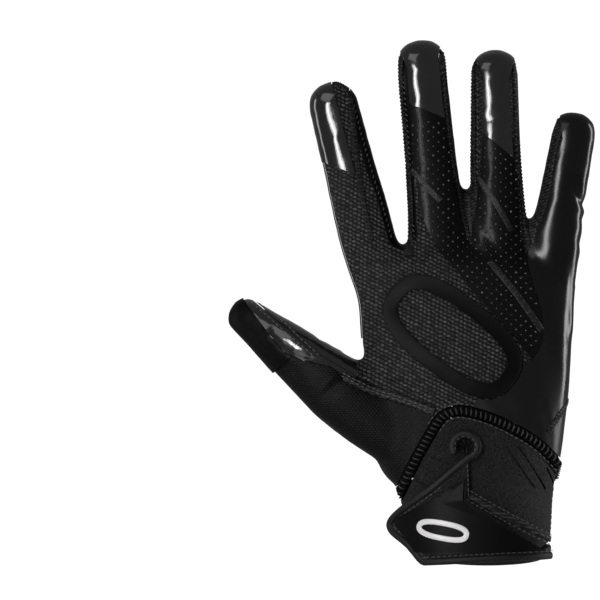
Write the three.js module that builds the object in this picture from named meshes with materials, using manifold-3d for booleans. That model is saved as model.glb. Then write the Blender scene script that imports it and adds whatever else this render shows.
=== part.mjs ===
// A right-hand football receiver glove in its worn form, fingers up and back of the hand towards -Y.
// The thumb points to -X, and the origin is the centre of the wrist opening, level with the hem.
// Each panel is a wall cut out of the glove's own lofted form. Sizes are in millimetres.
import * as THREE from "three";
import { mergeVertices } from "three/addons/utils/BufferGeometryUtils.js";
import Module from "manifold-3d";

const wasm = await Module();
wasm.setup();

// Hand sizes, over the outer face of the palm skin and the knitted back
const palmWidth = 100;
const palmDepth = 38;
const wristWidth = 63;
const wristDepth = 42;
const rootHeight = 136; // from the hem to the roots of the fingers
const indexLength = 70;
const middleLength = 88;
const ringLength = 83.5;
const littleLength = 64.5;
const indexWidth = 24.4;
const middleWidth = 25.4;
const ringWidth = 24.8;
const littleWidth = 23.6;
const fingerDepth = 20.4;
const thumbLength = 60;
const thumbWidth = 24;
const thumbDepth = 23;
const fingerCurl = 9; // how far the middle fingertip leans towards the palm
const thumbForward = 16; // how far the thumb's tip stands in front of the palm

// Walls and layers
const wall = 1.2;
const seamGap = 0.3; // between two panels that are sewn edge to edge, and between two layers
const filmThickness = 0.7;
const frameThickness = 1.4;
const wrapThickness = 2;
const patchThickness = 0.8;
const strapThickness = 2;
const tabThickness = 1.2;
const facetThickness = 0.7;
const badgeThickness = 0.7;

// Seams, bindings and small forms
const fourchetteWidth = 12;
const fourchetteToBack = 1.4; // how far its middle lies behind the middle of the finger
const fourchetteDrop = 9; // how far a fourchette runs below its crotch, on to the hand
const weltWidth = 4.4;
const weltHeight = 1.6;
const bandWidth = 4;
const bandHeight = 0.7;
const bindingWidth = 3.4;
const bindingHeight = 0.6;
const hemHeight = 4.2;
const frameLength = 66;
const frameBreadth = 35;
const frameBand = 6.6;
const frameTilt = -38; // degrees
const frameSquareness = 2.7; // exponent of the superellipse; 2 is an ellipse
const keyholeRadius = 3.3;
const curlStart = 215; // degrees round the keyhole, where the binding's curl starts
const curlEnd = -48; // and where it leaves the curl for the strap's free edge
const tabMargin = 1.6; // bare strap between the tab and its binding
const badgeLength = 20;
const badgeBreadth = 8.4;
const badgeBand = 2.3;
const badgeTilt = -12; // degrees
const badgeSquareness = 2.6;
const patchWidth = 16;
const patchHeight = 13;

// Facets and room for the cutting solids
const bodySides = 18;
const fingerSides = 10;
const ovalSides = 20;
const curveSteps = 10;
const far = 220;

const radians = (degrees) => (degrees * Math.PI) / 180;
const mix = (a, b, share) => a + (b - a) * share;

// Layer heights over the palm skin's outer face
const wrapTop = wrapThickness - wall;
const patchFrom = wrapTop + seamGap;
const strapFrom = patchFrom + patchThickness + seamGap;
const strapTop = strapFrom + strapThickness;
const tabFrom = strapTop + seamGap;
const tabTop = tabFrom + tabThickness;
const filmTop = seamGap + filmThickness;

// Sections of the hand and the wrist. up is a share of rootHeight; left and right are shares of the
// width, back and palm of the depth. arch, slope and crown only shape the rings under the fingers: they
// lift a ring's middle, its thumb side and, on a grown layer, the whole ring.
const bodyRows = [
  { follows: "wrist", up: -0.08, left: -0.455, right: 0.46, back: -0.49, palm: 0.49 },
  { follows: "wrist", up: 0, left: -0.46, right: 0.465, back: -0.49, palm: 0.49 },
  { follows: "wrist", up: 0.08, left: -0.5, right: 0.48, back: -0.5, palm: 0.5 },
  { follows: "wrist", up: 0.21, left: -0.515, right: 0.495, back: -0.495, palm: 0.49 },
  { follows: "palm", up: 0.275, left: -0.4, right: 0.325, back: -0.515, palm: 0.53 },
  { follows: "palm", up: 0.33, left: -0.435, right: 0.345, back: -0.5, palm: 0.545 },
  { follows: "palm", up: 0.44, left: -0.445, right: 0.365, back: -0.485, palm: 0.54 },
  { follows: "palm", up: 0.56, left: -0.475, right: 0.385, back: -0.47, palm: 0.51 },
  { follows: "palm", up: 0.69, left: -0.495, right: 0.394, back: -0.45, palm: 0.47 },
  { follows: "palm", up: 0.8, left: -0.508, right: 0.405, back: -0.43, palm: 0.43,
    arch: 0.005, slope: 0.005, crown: 0 },
  { follows: "palm", up: 0.87, left: -0.528, right: 0.414, back: -0.405, palm: 0.4,
    arch: 0.02, slope: 0.015, crown: 0 },
  { follows: "palm", up: 0.915, left: -0.535, right: 0.41, back: -0.36, palm: 0.355,
    arch: 0.03, slope: 0.025, crown: 0.3 },
  { follows: "palm", up: 0.945, left: -0.5, right: 0.37, back: -0.26, palm: 0.26,
    arch: 0.035, slope: 0.03, crown: 0.8 },
  { follows: "palm", up: 0.955, left: -0.38, right: 0.27, back: -0.12, palm: 0.12,
    arch: 0.035, slope: 0.03, crown: 1 },
];
const bodySquareness = 2.3;

// The fingers. across is a share of palmWidth and up of rootHeight, lean is in degrees towards the
// little finger's side, and tip is the width near the tip as a share of the width at the root.
const fingers = [
  { name: "index", across: -0.469, up: 1.012, lean: -14.4, tip: 0.84, length: indexLength, width: indexWidth },
  { name: "middle", across: -0.171, up: 1.002, lean: -5.2, tip: 0.81, length: middleLength, width: middleWidth },
  { name: "ring", across: 0.083, up: 1.002, lean: -0.4, tip: 0.785, length: ringLength, width: ringWidth },
  { name: "little", across: 0.311, up: 0.949, lean: 10.8, tip: 0.76, length: littleLength, width: littleWidth },
];
// along is a share of the finger's length and taper runs from the root's width to the tip's.
const fingerRows = [
  { along: -0.34, taper: 0, swell: 0.84 },
  { along: -0.08, taper: 0, swell: 0.98 },
  { along: 0.14, taper: 0.05, swell: 1 },
  { along: 0.42, taper: 0.68, swell: 1 },
  { along: 0.62, taper: 0.86, swell: 1 },
];
const thumb = { across: -0.58, up: 0.535, lean: -51 };
// along is a share of thumbLength, wide of thumbWidth and deep of thumbDepth.
const thumbRows = [
  { along: -0.62, wide: 0.98, deep: 1.1 },
  { along: -0.3, wide: 1.2, deep: 1.16 },
  { along: 0.0, wide: 1.26, deep: 1.12 },
  { along: 0.14, wide: 1.18, deep: 1.05 },
  { along: 0.34, wide: 1.04, deep: 0.97 },
  { along: 0.56, wide: 0.89, deep: 0.92 },
  { along: 0.78, wide: 0.7, deep: 0.84 },
];
// A fingertip's rounding: shares of its radius along the finger, with a blunt quarter round across it.
const tipSteps = [0, 0.56, 0.87];
const tipBluntness = 2.3;

// A closed triangle mesh as a solid for cutting and joining.
function solidFrom(geometry) {
  const bare = geometry.index ? geometry.toNonIndexed() : geometry.clone();
  bare.deleteAttribute("normal");
  bare.deleteAttribute("uv");
  const merged = mergeVertices(bare, 1e-4);
  return new wasm.Manifold(
    new wasm.Mesh({
      numProp: 3,
      vertProperties: merged.attributes.position.array,
      triVerts: new Uint32Array(merged.index.array),
    }),
  );
}

// A solid through rings of points, closed by a fan at each end.
function loft(rings, apex) {
  const sides = rings[0].length;
  const middleOf = (ring) =>
    ring.reduce((sum, p) => sum.add(p), new THREE.Vector3()).divideScalar(sides);
  const points = [...rings.flat(), middleOf(rings[0]), apex ?? middleOf(rings.at(-1))];
  const first = points.length - 2;
  const last = points.length - 1;
  const faces = [];
  for (let k = 0; k < sides; k++) {
    const next = (k + 1) % sides;
    faces.push(first, next, k);
    for (let r = 0; r < rings.length - 1; r++) {
      const low = r * sides;
      const high = low + sides;
      faces.push(low + k, low + next, high + next, low + k, high + next, high + k);
    }
    const top = (rings.length - 1) * sides;
    faces.push(last, top + k, top + next);
  }
  const geometry = new THREE.BufferGeometry();
  const coordinates = points.flatMap((p) => [p.x, p.y, p.z]);
  geometry.setAttribute("position", new THREE.Float32BufferAttribute(coordinates, 3));
  geometry.setIndex(faces);
  return solidFrom(geometry);
}

// One ring of a superellipse, counter-clockwise seen from +Z. place turns (across, depth) into a point.
function ring(sides, squareness, place) {
  const bend = (v) => Math.sign(v) * Math.abs(v) ** (2 / squareness);
  return Array.from({ length: sides }, (_, k) => {
    const angle = (2 * Math.PI * k) / sides;
    return place(bend(Math.cos(angle)), bend(Math.sin(angle)));
  });
}

// How far the glove's middle sheet has curled towards the palm at a height.
function curlAt(z) {
  const share = Math.max(0, z - rootHeight) / middleLength;
  return fingerCurl * share * share;
}

const bodySizes = {
  wrist: { width: wristWidth, depth: wristDepth },
  palm: { width: palmWidth, depth: palmDepth },
};

function bodySolid(grow) {
  const rings = bodyRows.map((row) => {
    const { width, depth } = bodySizes[row.follows];
    const middle = ((row.left + row.right) / 2) * width;
    const half = ((row.right - row.left) / 2) * width + grow;
    const middleY = ((row.back + row.palm) / 2) * depth;
    const halfDepth = ((row.palm - row.back) / 2) * depth + grow;
    return ring(bodySides, bodySquareness, (across, deep) => {
      const { arch = 0, slope = 0, crown = 0 } = row;
      const lift = row.up + arch * (1 - across * across) - slope * across;
      const height = lift * rootHeight + crown * grow;
      return new THREE.Vector3(middle + half * across, middleY + halfDepth * deep, height);
    });
  });
  return loft(rings);
}

// A limb's frame: the point at a distance along its axis, and the direction across it.
function limbFrame(limb) {
  const lean = radians(limb.lean);
  const root = new THREE.Vector3(limb.across * palmWidth, 0, limb.up * rootHeight);
  const along = new THREE.Vector3(Math.sin(lean), 0, Math.cos(lean));
  const across = new THREE.Vector3(Math.cos(lean), 0, -Math.sin(lean));
  return {
    across,
    at: (distance, shift = 0) =>
      root.clone().addScaledVector(along, distance).addScaledVector(across, shift),
  };
}

// A tube through sections given as distance along the axis, half width, half depth and y of the middle.
function limbSolid(limb, sections, apexDistance, apexY) {
  const frame = limbFrame(limb);
  const rings = sections.map((s) =>
    ring(fingerSides, bodySquareness, (across, deep) => {
      const p = frame.at(s.distance, s.half * across);
      p.y = s.y + s.halfDepth * deep;
      return p;
    }),
  );
  const apex = frame.at(apexDistance);
  apex.y = apexY;
  return loft(rings, apex);
}

// The rounded end of a limb, from where its tip's radius begins.
function tipSections(length, half, halfDepth, grow, yAt) {
  const radius = half;
  return tipSteps.map((step) => {
    const round = (1 - step ** tipBluntness) ** (1 / tipBluntness);
    const distance = length - radius + step * (radius + grow);
    return { distance, half: (half + grow) * round, halfDepth: (halfDepth + grow) * round, y: yAt(distance) };
  });
}

function fingerSolid(finger, grow) {
  const frame = limbFrame(finger);
  const yAt = (distance) => curlAt(frame.at(distance).z);
  const depthShare = fingerDepth / middleWidth;
  const sections = fingerRows.map((row) => {
    const half = (mix(1, finger.tip, row.taper) * row.swell * finger.width) / 2;
    const distance = row.along * finger.length;
    return { distance, half: half + grow, halfDepth: half * depthShare + grow, y: yAt(distance) };
  });
  const tipHalf = (finger.tip * finger.width) / 2;
  sections.push(...tipSections(finger.length, tipHalf, tipHalf * depthShare, grow, yAt));
  return limbSolid(finger, sections, finger.length + grow, yAt(finger.length));
}

const thumbY = (distance) => thumbForward * Math.max(0, distance / thumbLength) ** 1.5;

function thumbSolid(grow) {
  const sections = thumbRows.map((row) => {
    const distance = row.along * thumbLength;
    return {
      distance,
      half: (row.wide * thumbWidth) / 2 + grow,
      halfDepth: (row.deep * thumbDepth) / 2 + grow,
      y: thumbY(distance),
    };
  });
  const end = thumbRows.at(-1);
  const tipHalf = (end.wide * thumbWidth) / 2;
  const tip = tipSections(thumbLength, tipHalf, (end.deep * thumbDepth) / 2, grow, thumbY);
  sections.push(...tip.slice(1));
  return limbSolid(thumb, sections, thumbLength + grow, thumbY(thumbLength));
}

// The whole glove's form, grown outwards from the palm skin's outer face; it is made once for each layer.
const hulls = new Map();
function hull(grow) {
  if (!hulls.has(grow)) {
    const limbs = [...fingers.map((finger) => fingerSolid(finger, grow)), thumbSolid(grow)];
    hulls.set(grow, limbs.reduce((whole, limb) => whole.add(limb), bodySolid(grow)));
  }
  return hulls.get(grow);
}

// The wall between two heights over the palm skin's outer face.
const layer = (from, to) => hull(to).subtract(hull(from));

// Vector and outline helpers. A point on the hand is [across, up], shares of palmWidth and rootHeight.
const point = (x, y) => new THREE.Vector2(x, y);
const onHand = ([across, up]) => point(across * palmWidth, up * rootHeight);
const onPage = (p) => point(p.x, p.z);
const between = (a, b, share) => a.clone().lerp(b, share);
const smooth = (points, steps = curveSteps) => new THREE.SplineCurve(points).getPoints(steps);
const kept = (solid, ...places) => places.reduce((rest, place) => rest.intersect(place), solid);
const cut = (solid, ...tools) => tools.reduce((rest, tool) => rest.subtract(tool), solid);
const joined = (solids) => solids.reduce((whole, solid) => whole.add(solid));

// A block by its lowest and highest corner.
function block(low, high) {
  const geometry = new THREE.BoxGeometry(high[0] - low[0], high[1] - low[1], high[2] - low[2]);
  geometry.translate((low[0] + high[0]) / 2, (low[1] + high[1]) / 2, (low[2] + high[2]) / 2);
  return solidFrom(geometry);
}

// An outline seen from the back of the hand, as a prism that runs through the whole glove.
function prism(points, hole) {
  const shape = new THREE.Shape(points);
  if (hole) {
    shape.holes.push(new THREE.Path(hole));
  }
  const geometry = new THREE.ExtrudeGeometry(shape, { depth: 2 * far, bevelEnabled: false });
  geometry.rotateX(Math.PI / 2);
  geometry.translate(0, far, 0);
  return solidFrom(geometry);
}

// A line moved sideways, to the left of its direction.
function moved(line, distance) {
  return line.map((at, k) => {
    const before = line[Math.max(0, k - 1)];
    const after = line[Math.min(line.length - 1, k + 1)];
    const normal = point(before.y - after.y, after.x - before.x).normalize();
    return at.clone().addScaledVector(normal, distance);
  });
}

// A band of constant width along a line, with straight ends.
const stroke = (line, width) => prism([...moved(line, width / 2), ...moved(line, -width / 2).toReversed()]);

// A tilted oval, as a ring of points.
function oval(centre, length, breadth, tilt, squareness) {
  const origin = point(0, 0);
  return ring(ovalSides, squareness, (x, y) =>
    point((length / 2) * x, (breadth / 2) * y).rotateAround(origin, radians(tilt)).add(centre),
  );
}

// The curled sheet that parts the palm side from the back: everything behind it, shifted along Y.
function behindSheet(shift) {
  const top = rootHeight + middleLength * 1.4;
  const steps = curveSteps / 2;
  const profile = [point(-far, -far), point(shift, -far)];
  for (let k = 0; k <= steps; k++) {
    const z = mix(rootHeight, top, k / steps);
    profile.push(point(curlAt(z) + shift, z));
  }
  profile.push(point(-far, top));
  const sheet = new THREE.ExtrudeGeometry(new THREE.Shape(profile), { depth: 2 * far, bevelEnabled: false });
  // The profile's x and y are the glove's Y and Z, and it is extruded along X.
  sheet.applyMatrix4(new THREE.Matrix4().set(0, 0, 1, -far, 1, 0, 0, 0, 0, 1, 0, 0, 0, 0, 0, 1));
  return solidFrom(sheet);
}

// The same parting along the thumb's own axis, which leaves the hand's sheet beyond the web.
function behindThumb(shift) {
  const frame = limbFrame(thumb);
  const reach = 1.2 * thumbLength;
  const steps = Array.from({ length: curveSteps }, (_, k) => (k * reach) / (curveSteps - 1));
  const corners = [[1, -far], [1, 0], [-1, 0], [-1, -far]];
  const rings = [-far, ...steps, far].map((distance) =>
    corners.map(([side, depth]) => {
      const p = frame.at(distance, side * far);
      p.y = depth || thumbY(Math.min(distance, reach)) + shift;
      return p;
    }),
  );
  return loft(rings);
}

// On the thumb the palm skin wraps round the upper edge, so the thumb's back ends at a ridge line.
const thumbRidge = [
  [-1.05, 0.9], [-0.994, 0.813], [-0.913, 0.735], [-0.836, 0.665],
  [-0.76, 0.64], [-0.634, 0.618], [-0.565, 0.583], [-0.49, 0.57],
].map(onHand);
const crotchLine = [[-0.515, 0.6], [-0.525, 0.65], [-0.56, 0.72], [-0.85, 1.0]].map(onHand);
const thumbStart = [-1.2, 0.1].map((share) => onPage(limbFrame(thumb).at(0, share * thumbLength)));
const thumbZone = prism([
  ...thumbStart, ...crotchLine, point(-far, crotchLine.at(-1).y), point(-far, thumbStart[0].y),
]);
const belowRidge = prism([
  ...thumbRidge, point(thumbRidge.at(-1).x, -far), point(-far, -far), point(-far, thumbRidge[0].y),
]);
const ridgeGap = stroke(thumbRidge, 2 * seamGap);

// The back half of the glove and, a seam's gap larger, all that is not the palm half.
const backOf = (shift, thumbPlace) =>
  behindSheet(shift).subtract(thumbZone).add(kept(behindThumb(shift), thumbZone, thumbPlace));
const back = backOf(-seamGap / 2, belowRidge);
const notPalm = backOf(seamGap / 2, belowRidge.add(ridgeGap));

// Seam lines on the back of the hand
const welt = smooth([
  [-0.35, 0.2], [-0.29, 0.3], [-0.228, 0.385], [-0.165, 0.458], [-0.11, 0.48], [-0.05, 0.48],
  [0.056, 0.457], [0.18, 0.412], [0.266, 0.368], [0.36, 0.3], [0.46, 0.24],
].map(onHand), 3 * curveSteps);
const band = smooth([
  [-0.578, 0.592], [-0.53, 0.572], [-0.454, 0.545], [-0.36, 0.525], [-0.257, 0.498], [-0.19, 0.478],
].map(onHand));
const weltZone = stroke(welt, weltWidth + 2 * seamGap);
const bandZone = stroke(band, bandWidth + 2 * seamGap);

// What lies under the welt's line is the wrist wrap, and what lies under the band's is the thumb's back.
const belowWelt = prism([
  ...welt, point(far, welt.at(-1).y), point(far, -far), point(-far, -far), point(-far, welt[0].y),
]);
const weltLeg = welt.slice(0, curveSteps + 2);
const underBand = prism([
  point(-far, thumbRidge[0].y), thumbRidge[0], ...thumbRidge.slice(3, 6), ...band,
  ...weltLeg.toReversed(), point(-far, welt[0].y),
]);

// The palm's thumb panel, and the gusset that runs from the web up the thumb's inner edge
const thumbArc = smooth([
  [-0.365, 0.8], [-0.235, 0.703], [-0.14, 0.602], [-0.107, 0.514],
  [-0.124, 0.404], [-0.197, 0.309], [-0.295, 0.255], [-0.4, 0.235],
].map(onHand), 16);
const webCorners = [[-0.365, 0.8], [-0.428, 0.55], [-0.71, 0.67]].map(onHand);
const webLine = [...webCorners, point(-far, 1.6 * rootHeight)];
const thumbPanel = prism([...thumbArc, point(-far, thumbArc.at(-1).y), webLine[3], webLine[2], webLine[1]]);
const webPanel = prism([...webLine, point(-far, 1.6 * rootHeight + far), webLine[0]]);
const palmSeams = stroke(thumbArc, seamGap).add(stroke(webLine, seamGap));

// The hem's line rises at both sides of the wrist; this is everything above it, moved up by a distance.
const hemLine = smooth([
  [-0.5, 0.14], [-0.34, 0.09], [-0.29, 0.06], [-0.22, 0.02], [-0.08, 0.002],
  [0.1, 0.0], [0.24, 0.01], [0.31, 0.035], [0.36, 0.06], [0.5, 0.1],
].map(onHand), 16);
function aboveHem(distance) {
  const line = moved(hemLine, distance);
  const top = point(0, far).y;
  const ends = [point(-far, line[0].y), point(far, line.at(-1).y)];
  return prism([...line, ends[1], point(far, top), point(-far, top), ends[0]]);
}

// Where the wrist wrap reaches round to the palm, on each side of the palm skin's tail
const tailEdges = [
  { side: -1, top: onHand([-0.34, 0.235]), foot: onHand([-0.155, 0.04]) },
  { side: 1, top: onHand([0.335, 0.235]), foot: onHand([0.22, 0.04]) },
];
const besideTail = (gap) =>
  joined(tailEdges.map(({ side, top, foot }) => {
    const edge = [top, foot].map((p) => point(p.x + side * gap, p.y));
    return prism([...edge, point(edge[1].x, -far), point(side * far, -far), point(side * far, top.y)]);
  }));

// A fourchette's place: along the facing sides of two neighbouring fingers, to a point below their crotch.
function fourchettePlace(pair, grow) {
  const edges = pair.map((finger, k) => {
    const inwards = k === 0 ? 1 : -1;
    const frame = limbFrame(finger);
    const reach = finger.width * finger.tip;
    const stations = [
      { distance: -fourchetteDrop, across: 0.2 },
      { distance: finger.length - reach, across: 0.2 },
      { distance: finger.length - 0.12 * reach, across: 0.45 },
      { distance: finger.length - 0.12 * reach, across: 1 },
    ];
    return stations.map(({ distance, across }) => {
      const p = frame.at(distance, inwards * across * reach);
      return point(p.x - inwards * grow, p.z);
    });
  });
  const [left, right] = edges;
  const foot = between(left[0], right[0], 0.5);
  foot.y = Math.min(left[0].y, right[0].y) - grow;
  const half = fourchetteWidth / 2 + grow;
  const slab = cut(behindSheet(half - fourchetteToBack), behindSheet(-half - fourchetteToBack));
  return kept(prism([...right.toReversed(), foot, ...left].toReversed()), slab);
}
const pairs = fingers.slice(1).map((finger, k) => [fingers[k], finger]);
const fourchetteZones = joined(pairs.map((pair) => fourchettePlace(pair, seamGap)));

// What a film may cover: the back of the hand above the welt, clear of the fourchettes.
const backFace = cut(back, fourchetteZones, weltZone, belowWelt, bandZone, underBand);

// A fingertip cap: its lower edge in shares of the finger's length at its thumb side and its other
// side, and how far it reaches to each of these in shares of the finger's width.
const caps = {
  index: { near: 0.61, far: 0.42, left: 0.72, right: 0.06 },
  middle: { near: 0.71, far: 0.6, left: 0.36, right: 0.38 },
  ring: { near: 0.6, far: 0.42, left: 0.35, right: 0.38 },
};
function capPlace(finger, shift) {
  const frame = limbFrame(finger);
  const cap = caps[finger.name];
  const left = shift - cap.left * finger.width;
  const right = cap.right * finger.width - shift;
  return prism([
    frame.at(cap.near * finger.length + shift, left),
    frame.at(cap.far * finger.length + shift, right),
    frame.at(2 * finger.length, right),
    frame.at(2 * finger.length, left),
  ].map(onPage));
}
const [index, middle, ringFinger, little] = fingers;

// The oval frame over the knuckles, and the two films' borders; they share the one below the ring finger.
const frameCentre = onHand([-0.115, 0.715]);
const frameOval = (grow) =>
  oval(frameCentre, frameLength + 2 * grow, frameBreadth + 2 * grow, frameTilt, frameSquareness);
const frameZone = (grow) => prism(frameOval(grow), frameOval(-frameBand - grow));
const sharedBorder = smooth([
  [0.21, 0.93], [0.232, 0.87], [0.255, 0.82], [0.27, 0.745], [0.262, 0.69], [0.225, 0.645],
].map(onHand));
const dottedBorder = smooth([
  [-0.262, 1.2], [-0.252, 1.12], [-0.185, 1.0], [-0.095, 0.92], [0.0, 0.83], [0.11, 0.745], [0.2, 0.665],
].map(onHand));
const plainBorder = [[0.18, 0.625], [0.06, 0.56], [-0.02, 0.51], [-0.04, 0.48]].map(onHand);

// The dotted film on the middle and ring fingers' backs, cut away under the two caps.
function dottedFilm() {
  const top = rootHeight + 0.75 * middleLength;
  const left = onPage(limbFrame(middle).at(0.6 * middleLength, -0.6 * middleWidth));
  const right = onPage(limbFrame(ringFinger).at(0.36 * ringLength, 0.36 * ringWidth));
  const place = prism([
    left, ...dottedBorder, ...sharedBorder.toReversed(), right, point(right.x, top), point(left.x, top),
  ]);
  const capZones = [middle, ringFinger].map((finger) => capPlace(finger, -seamGap));
  return cut(kept(layer(seamGap, filmTop), place, backFace), ...capZones, frameZone(seamGap));
}

// The plain film on the little finger and the outer side of the hand, down to the welt.
function plainFilm() {
  const frame = limbFrame(little);
  const inner = [2 * littleLength, 0].map((distance) => onPage(frame.at(distance, -0.44 * littleWidth)));
  const place = prism([
    ...inner,
    ...sharedBorder.map((p) => point(p.x + seamGap, p.y)),
    ...plainBorder,
    point(plainBorder.at(-1).x, 0),
    point(far, 0),
    point(far, inner[0].y),
  ]);
  return cut(kept(layer(seamGap, filmTop), place, backFace), prism(frameOval(seamGap)));
}

// The strap's corners, and its binding's line from the curl round the keyhole along its free edge
const keyhole = onHand([-0.062, 0.371]);
const keyholeDisc = (radius) => prism(oval(keyhole, 2 * radius, 2 * radius, 0, 2));
const strapTopCorner = onHand([-0.05, 0.335]);
const strapEndCorner = onHand([-0.36, 0.135]);
const strapFootCorner = onHand([-0.225, 0.016]);
const strapSeamFoot = onHand([0.28, 0.03]);
const strapNotch = onHand([-0.045, 0.2]);
const curlRadius = keyholeRadius + bindingWidth / 2 + seamGap;
const curl = Array.from({ length: curveSteps + 1 }, (_, k) => {
  const angle = radians(mix(curlStart, curlEnd, k / curveSteps));
  return point(curlRadius * Math.cos(angle), curlRadius * Math.sin(angle)).add(keyhole);
});
const strapEdge = smooth([
  strapTopCorner,
  between(strapTopCorner, strapEndCorner, 0.5),
  between(strapTopCorner, strapEndCorner, 0.9),
  onHand([-0.352, 0.112]),
  between(strapEndCorner, strapFootCorner, 0.6),
  strapFootCorner,
  onHand([-0.19, 0.014]),
  between(strapFootCorner, strapSeamFoot, 0.5),
  strapSeamFoot,
], 4 * curveSteps);
const bindingZone = (grow) => stroke([...curl, ...strapEdge], bindingWidth + 2 * grow);

// The moulded tab's outline with its raised corner facet, and the badge's and the closure's centres
const tabOutline = [
  [-0.062, 0.262], [-0.065, 0.2], [0.23, 0.05], [-0.165, 0.042], [-0.245, 0.05], [-0.325, 0.135],
].map(onHand);
const facetOutline = [[-0.068, 0.255], [-0.07, 0.203], [-0.15, 0.2]].map(onHand);
const badgeCentre = onHand([-0.141, 0.11]);
const patchCentre = between(badgeCentre, strapEndCorner, 0.35);

// Materials, all of them blacks but the badge's white
const finish = (color, roughness) => new THREE.MeshStandardMaterial({ color, roughness, metalness: 0 });
const finishes = {
  grip: () => finish(0x101011, 0.12),
  knit: () => finish(0x1c1c1e, 0.85),
  satin: () => finish(0x131314, 0.55),
  film: () => finish(0x161617, 0.42),
  foam: () => finish(0x222224, 0.9),
  binding: () => finish(0x19191a, 0.65),
  moulding: () => finish(0x151516, 0.38),
  thread: () => finish(0x2a2a2c, 0.7),
  white: () => finish(0xefebea, 0.4),
};

// Adds one piece of the glove to a group as a named mesh.
function addPiece(group, name, solid, material) {
  const mesh = solid.getMesh();
  const geometry = new THREE.BufferGeometry();
  geometry.setAttribute("position", new THREE.BufferAttribute(mesh.vertProperties, mesh.numProp));
  geometry.setIndex(new THREE.BufferAttribute(mesh.triVerts, 1));
  const faceted = geometry.toNonIndexed();
  faceted.computeVertexNormals();
  const named = new THREE.Mesh(faceted, material());
  named.name = name;
  group.add(named);
}

const glove = new THREE.Group();
const hand = new THREE.Group();
const wrist = new THREE.Group();
glove.add(hand, wrist);

// The wall, open at the wrist, parted into the palm's glossy panels and the knitted back
const clearOfHem = aboveHem(hemHeight + seamGap);
const base = kept(layer(-wall, 0), clearOfHem);
const cuffTop = block([-far, -far, -far], [far, far, tailEdges[0].top.y]);
const palmWall = cut(base, notPalm, fourchetteZones, palmSeams, kept(besideTail(0), cuffTop));
addPiece(hand, "palm_skin", cut(palmWall, thumbPanel, webPanel), finishes.grip);
addPiece(hand, "thumb_palm", kept(palmWall, thumbPanel), finishes.grip);
addPiece(hand, "web_gusset", kept(palmWall, webPanel), finishes.grip);
addPiece(hand, "back_knit", kept(base, backFace), finishes.knit);
pairs.forEach((pair) => {
  const names = pair.map((finger) => finger.name).join("_");
  addPiece(hand, `fourchette_${names}`, kept(base, fourchettePlace(pair, 0)), finishes.knit);
});

// The thumb's back, of plain cloth, and the glossy cap over its end
const thumbBack = cut(kept(back, underBand), weltZone, bandZone);
const thumbEnd = [[0.4, 1], [2, 1], [2, -1], [0.5, -1]].map(([along, side]) =>
  onPage(limbFrame(thumb).at(along * thumbLength, side * thumbWidth)),
);
addPiece(hand, "thumb_back", kept(base, thumbBack), finishes.satin);
addPiece(hand, "thumb_cap", kept(layer(seamGap, filmTop), thumbBack, prism(thumbEnd)), finishes.grip);

// The caps, films and frame bonded to the knitted back
[index, middle, ringFinger].forEach((finger) => {
  const cap = kept(layer(seamGap, filmTop), capPlace(finger, 0), backFace);
  addPiece(hand, `cap_${finger.name}`, cap, finishes.grip);
});
addPiece(hand, "film_dotted", dottedFilm(), finishes.film);
addPiece(hand, "film_plain", plainFilm(), finishes.film);
const frameLayer = layer(seamGap, seamGap + frameThickness);
addPiece(hand, "knuckle_frame", kept(frameLayer, frameZone(0), backFace), finishes.moulding);

// Seams that stand proud of the wall
const weltWall = kept(layer(-wall, weltHeight), stroke(welt, weltWidth), back, clearOfHem);
const bandWall = kept(layer(-wall, bandHeight), stroke(band, bandWidth), back);
addPiece(hand, "welt", weltWall, finishes.thread);
addPiece(hand, "thumb_band", cut(bandWall, weltZone), finishes.knit);

// The wrist wrap of foam cloth, from the welt to the hem and round both sides to the palm skin's tail
const parting = backOf(0, belowRidge);
const wrapOnBack = cut(kept(parting, belowWelt), weltZone, underBand);
const wrapOnPalm = cut(kept(besideTail(seamGap), cuffTop), parting);
const wrap = kept(layer(-wall, wrapTop), wrapOnBack.add(wrapOnPalm), clearOfHem);
addPiece(wrist, "wrist_wrap", cut(wrap, keyholeDisc(keyholeRadius)), finishes.foam);
const gathers = kept(layer(-wall, 0), back, keyholeDisc(keyholeRadius - seamGap));
addPiece(wrist, "keyhole_gusset", gathers, finishes.satin);
const hem = cut(kept(layer(-wall, wrapTop + bindingHeight), aboveHem(0)), aboveHem(hemHeight));
addPiece(wrist, "hem_binding", hem, finishes.binding);

// The strap over the wrap, its binding and its hidden closure
const strapPlace = prism([...strapEdge, strapNotch]);
const strap = cut(kept(layer(strapFrom, strapTop), strapPlace, back), bindingZone(seamGap));
addPiece(wrist, "wrist_strap", strap, finishes.foam);
const bindingLayer = layer(patchFrom + bindingHeight + seamGap, strapTop + bindingHeight);
addPiece(wrist, "strap_binding", kept(bindingLayer, bindingZone(0), back), finishes.binding);
const patchPlace = block(
  [patchCentre.x - patchWidth / 2, -far, patchCentre.y - patchHeight / 2],
  [patchCentre.x + patchWidth / 2, 0, patchCentre.y + patchHeight / 2],
);
const patch = kept(layer(patchFrom, patchFrom + patchThickness), patchPlace, clearOfHem);
addPiece(wrist, "closure_patch", patch, finishes.binding);

// The moulded tab with its raised facet, and the plain oval badge on it
const tabPlace = cut(kept(prism(tabOutline), back), bindingZone(tabMargin / 2));
const tab = kept(layer(tabFrom, tabTop), tabPlace);
const facet = kept(layer(tabFrom, tabTop + facetThickness), prism(facetOutline), tabPlace);
addPiece(wrist, "strap_tab", tab.add(facet), finishes.moulding);
const badgeOval = (inset) =>
  oval(badgeCentre, badgeLength - 2 * inset, badgeBreadth - 2 * inset, badgeTilt, badgeSquareness);
const badgeLayer = layer(tabTop + seamGap, tabTop + seamGap + badgeThickness);
const badge = kept(badgeLayer, prism(badgeOval(0), badgeOval(badgeBand)), back);
addPiece(wrist, "tab_badge", badge, finishes.white);

export default glove;
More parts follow.
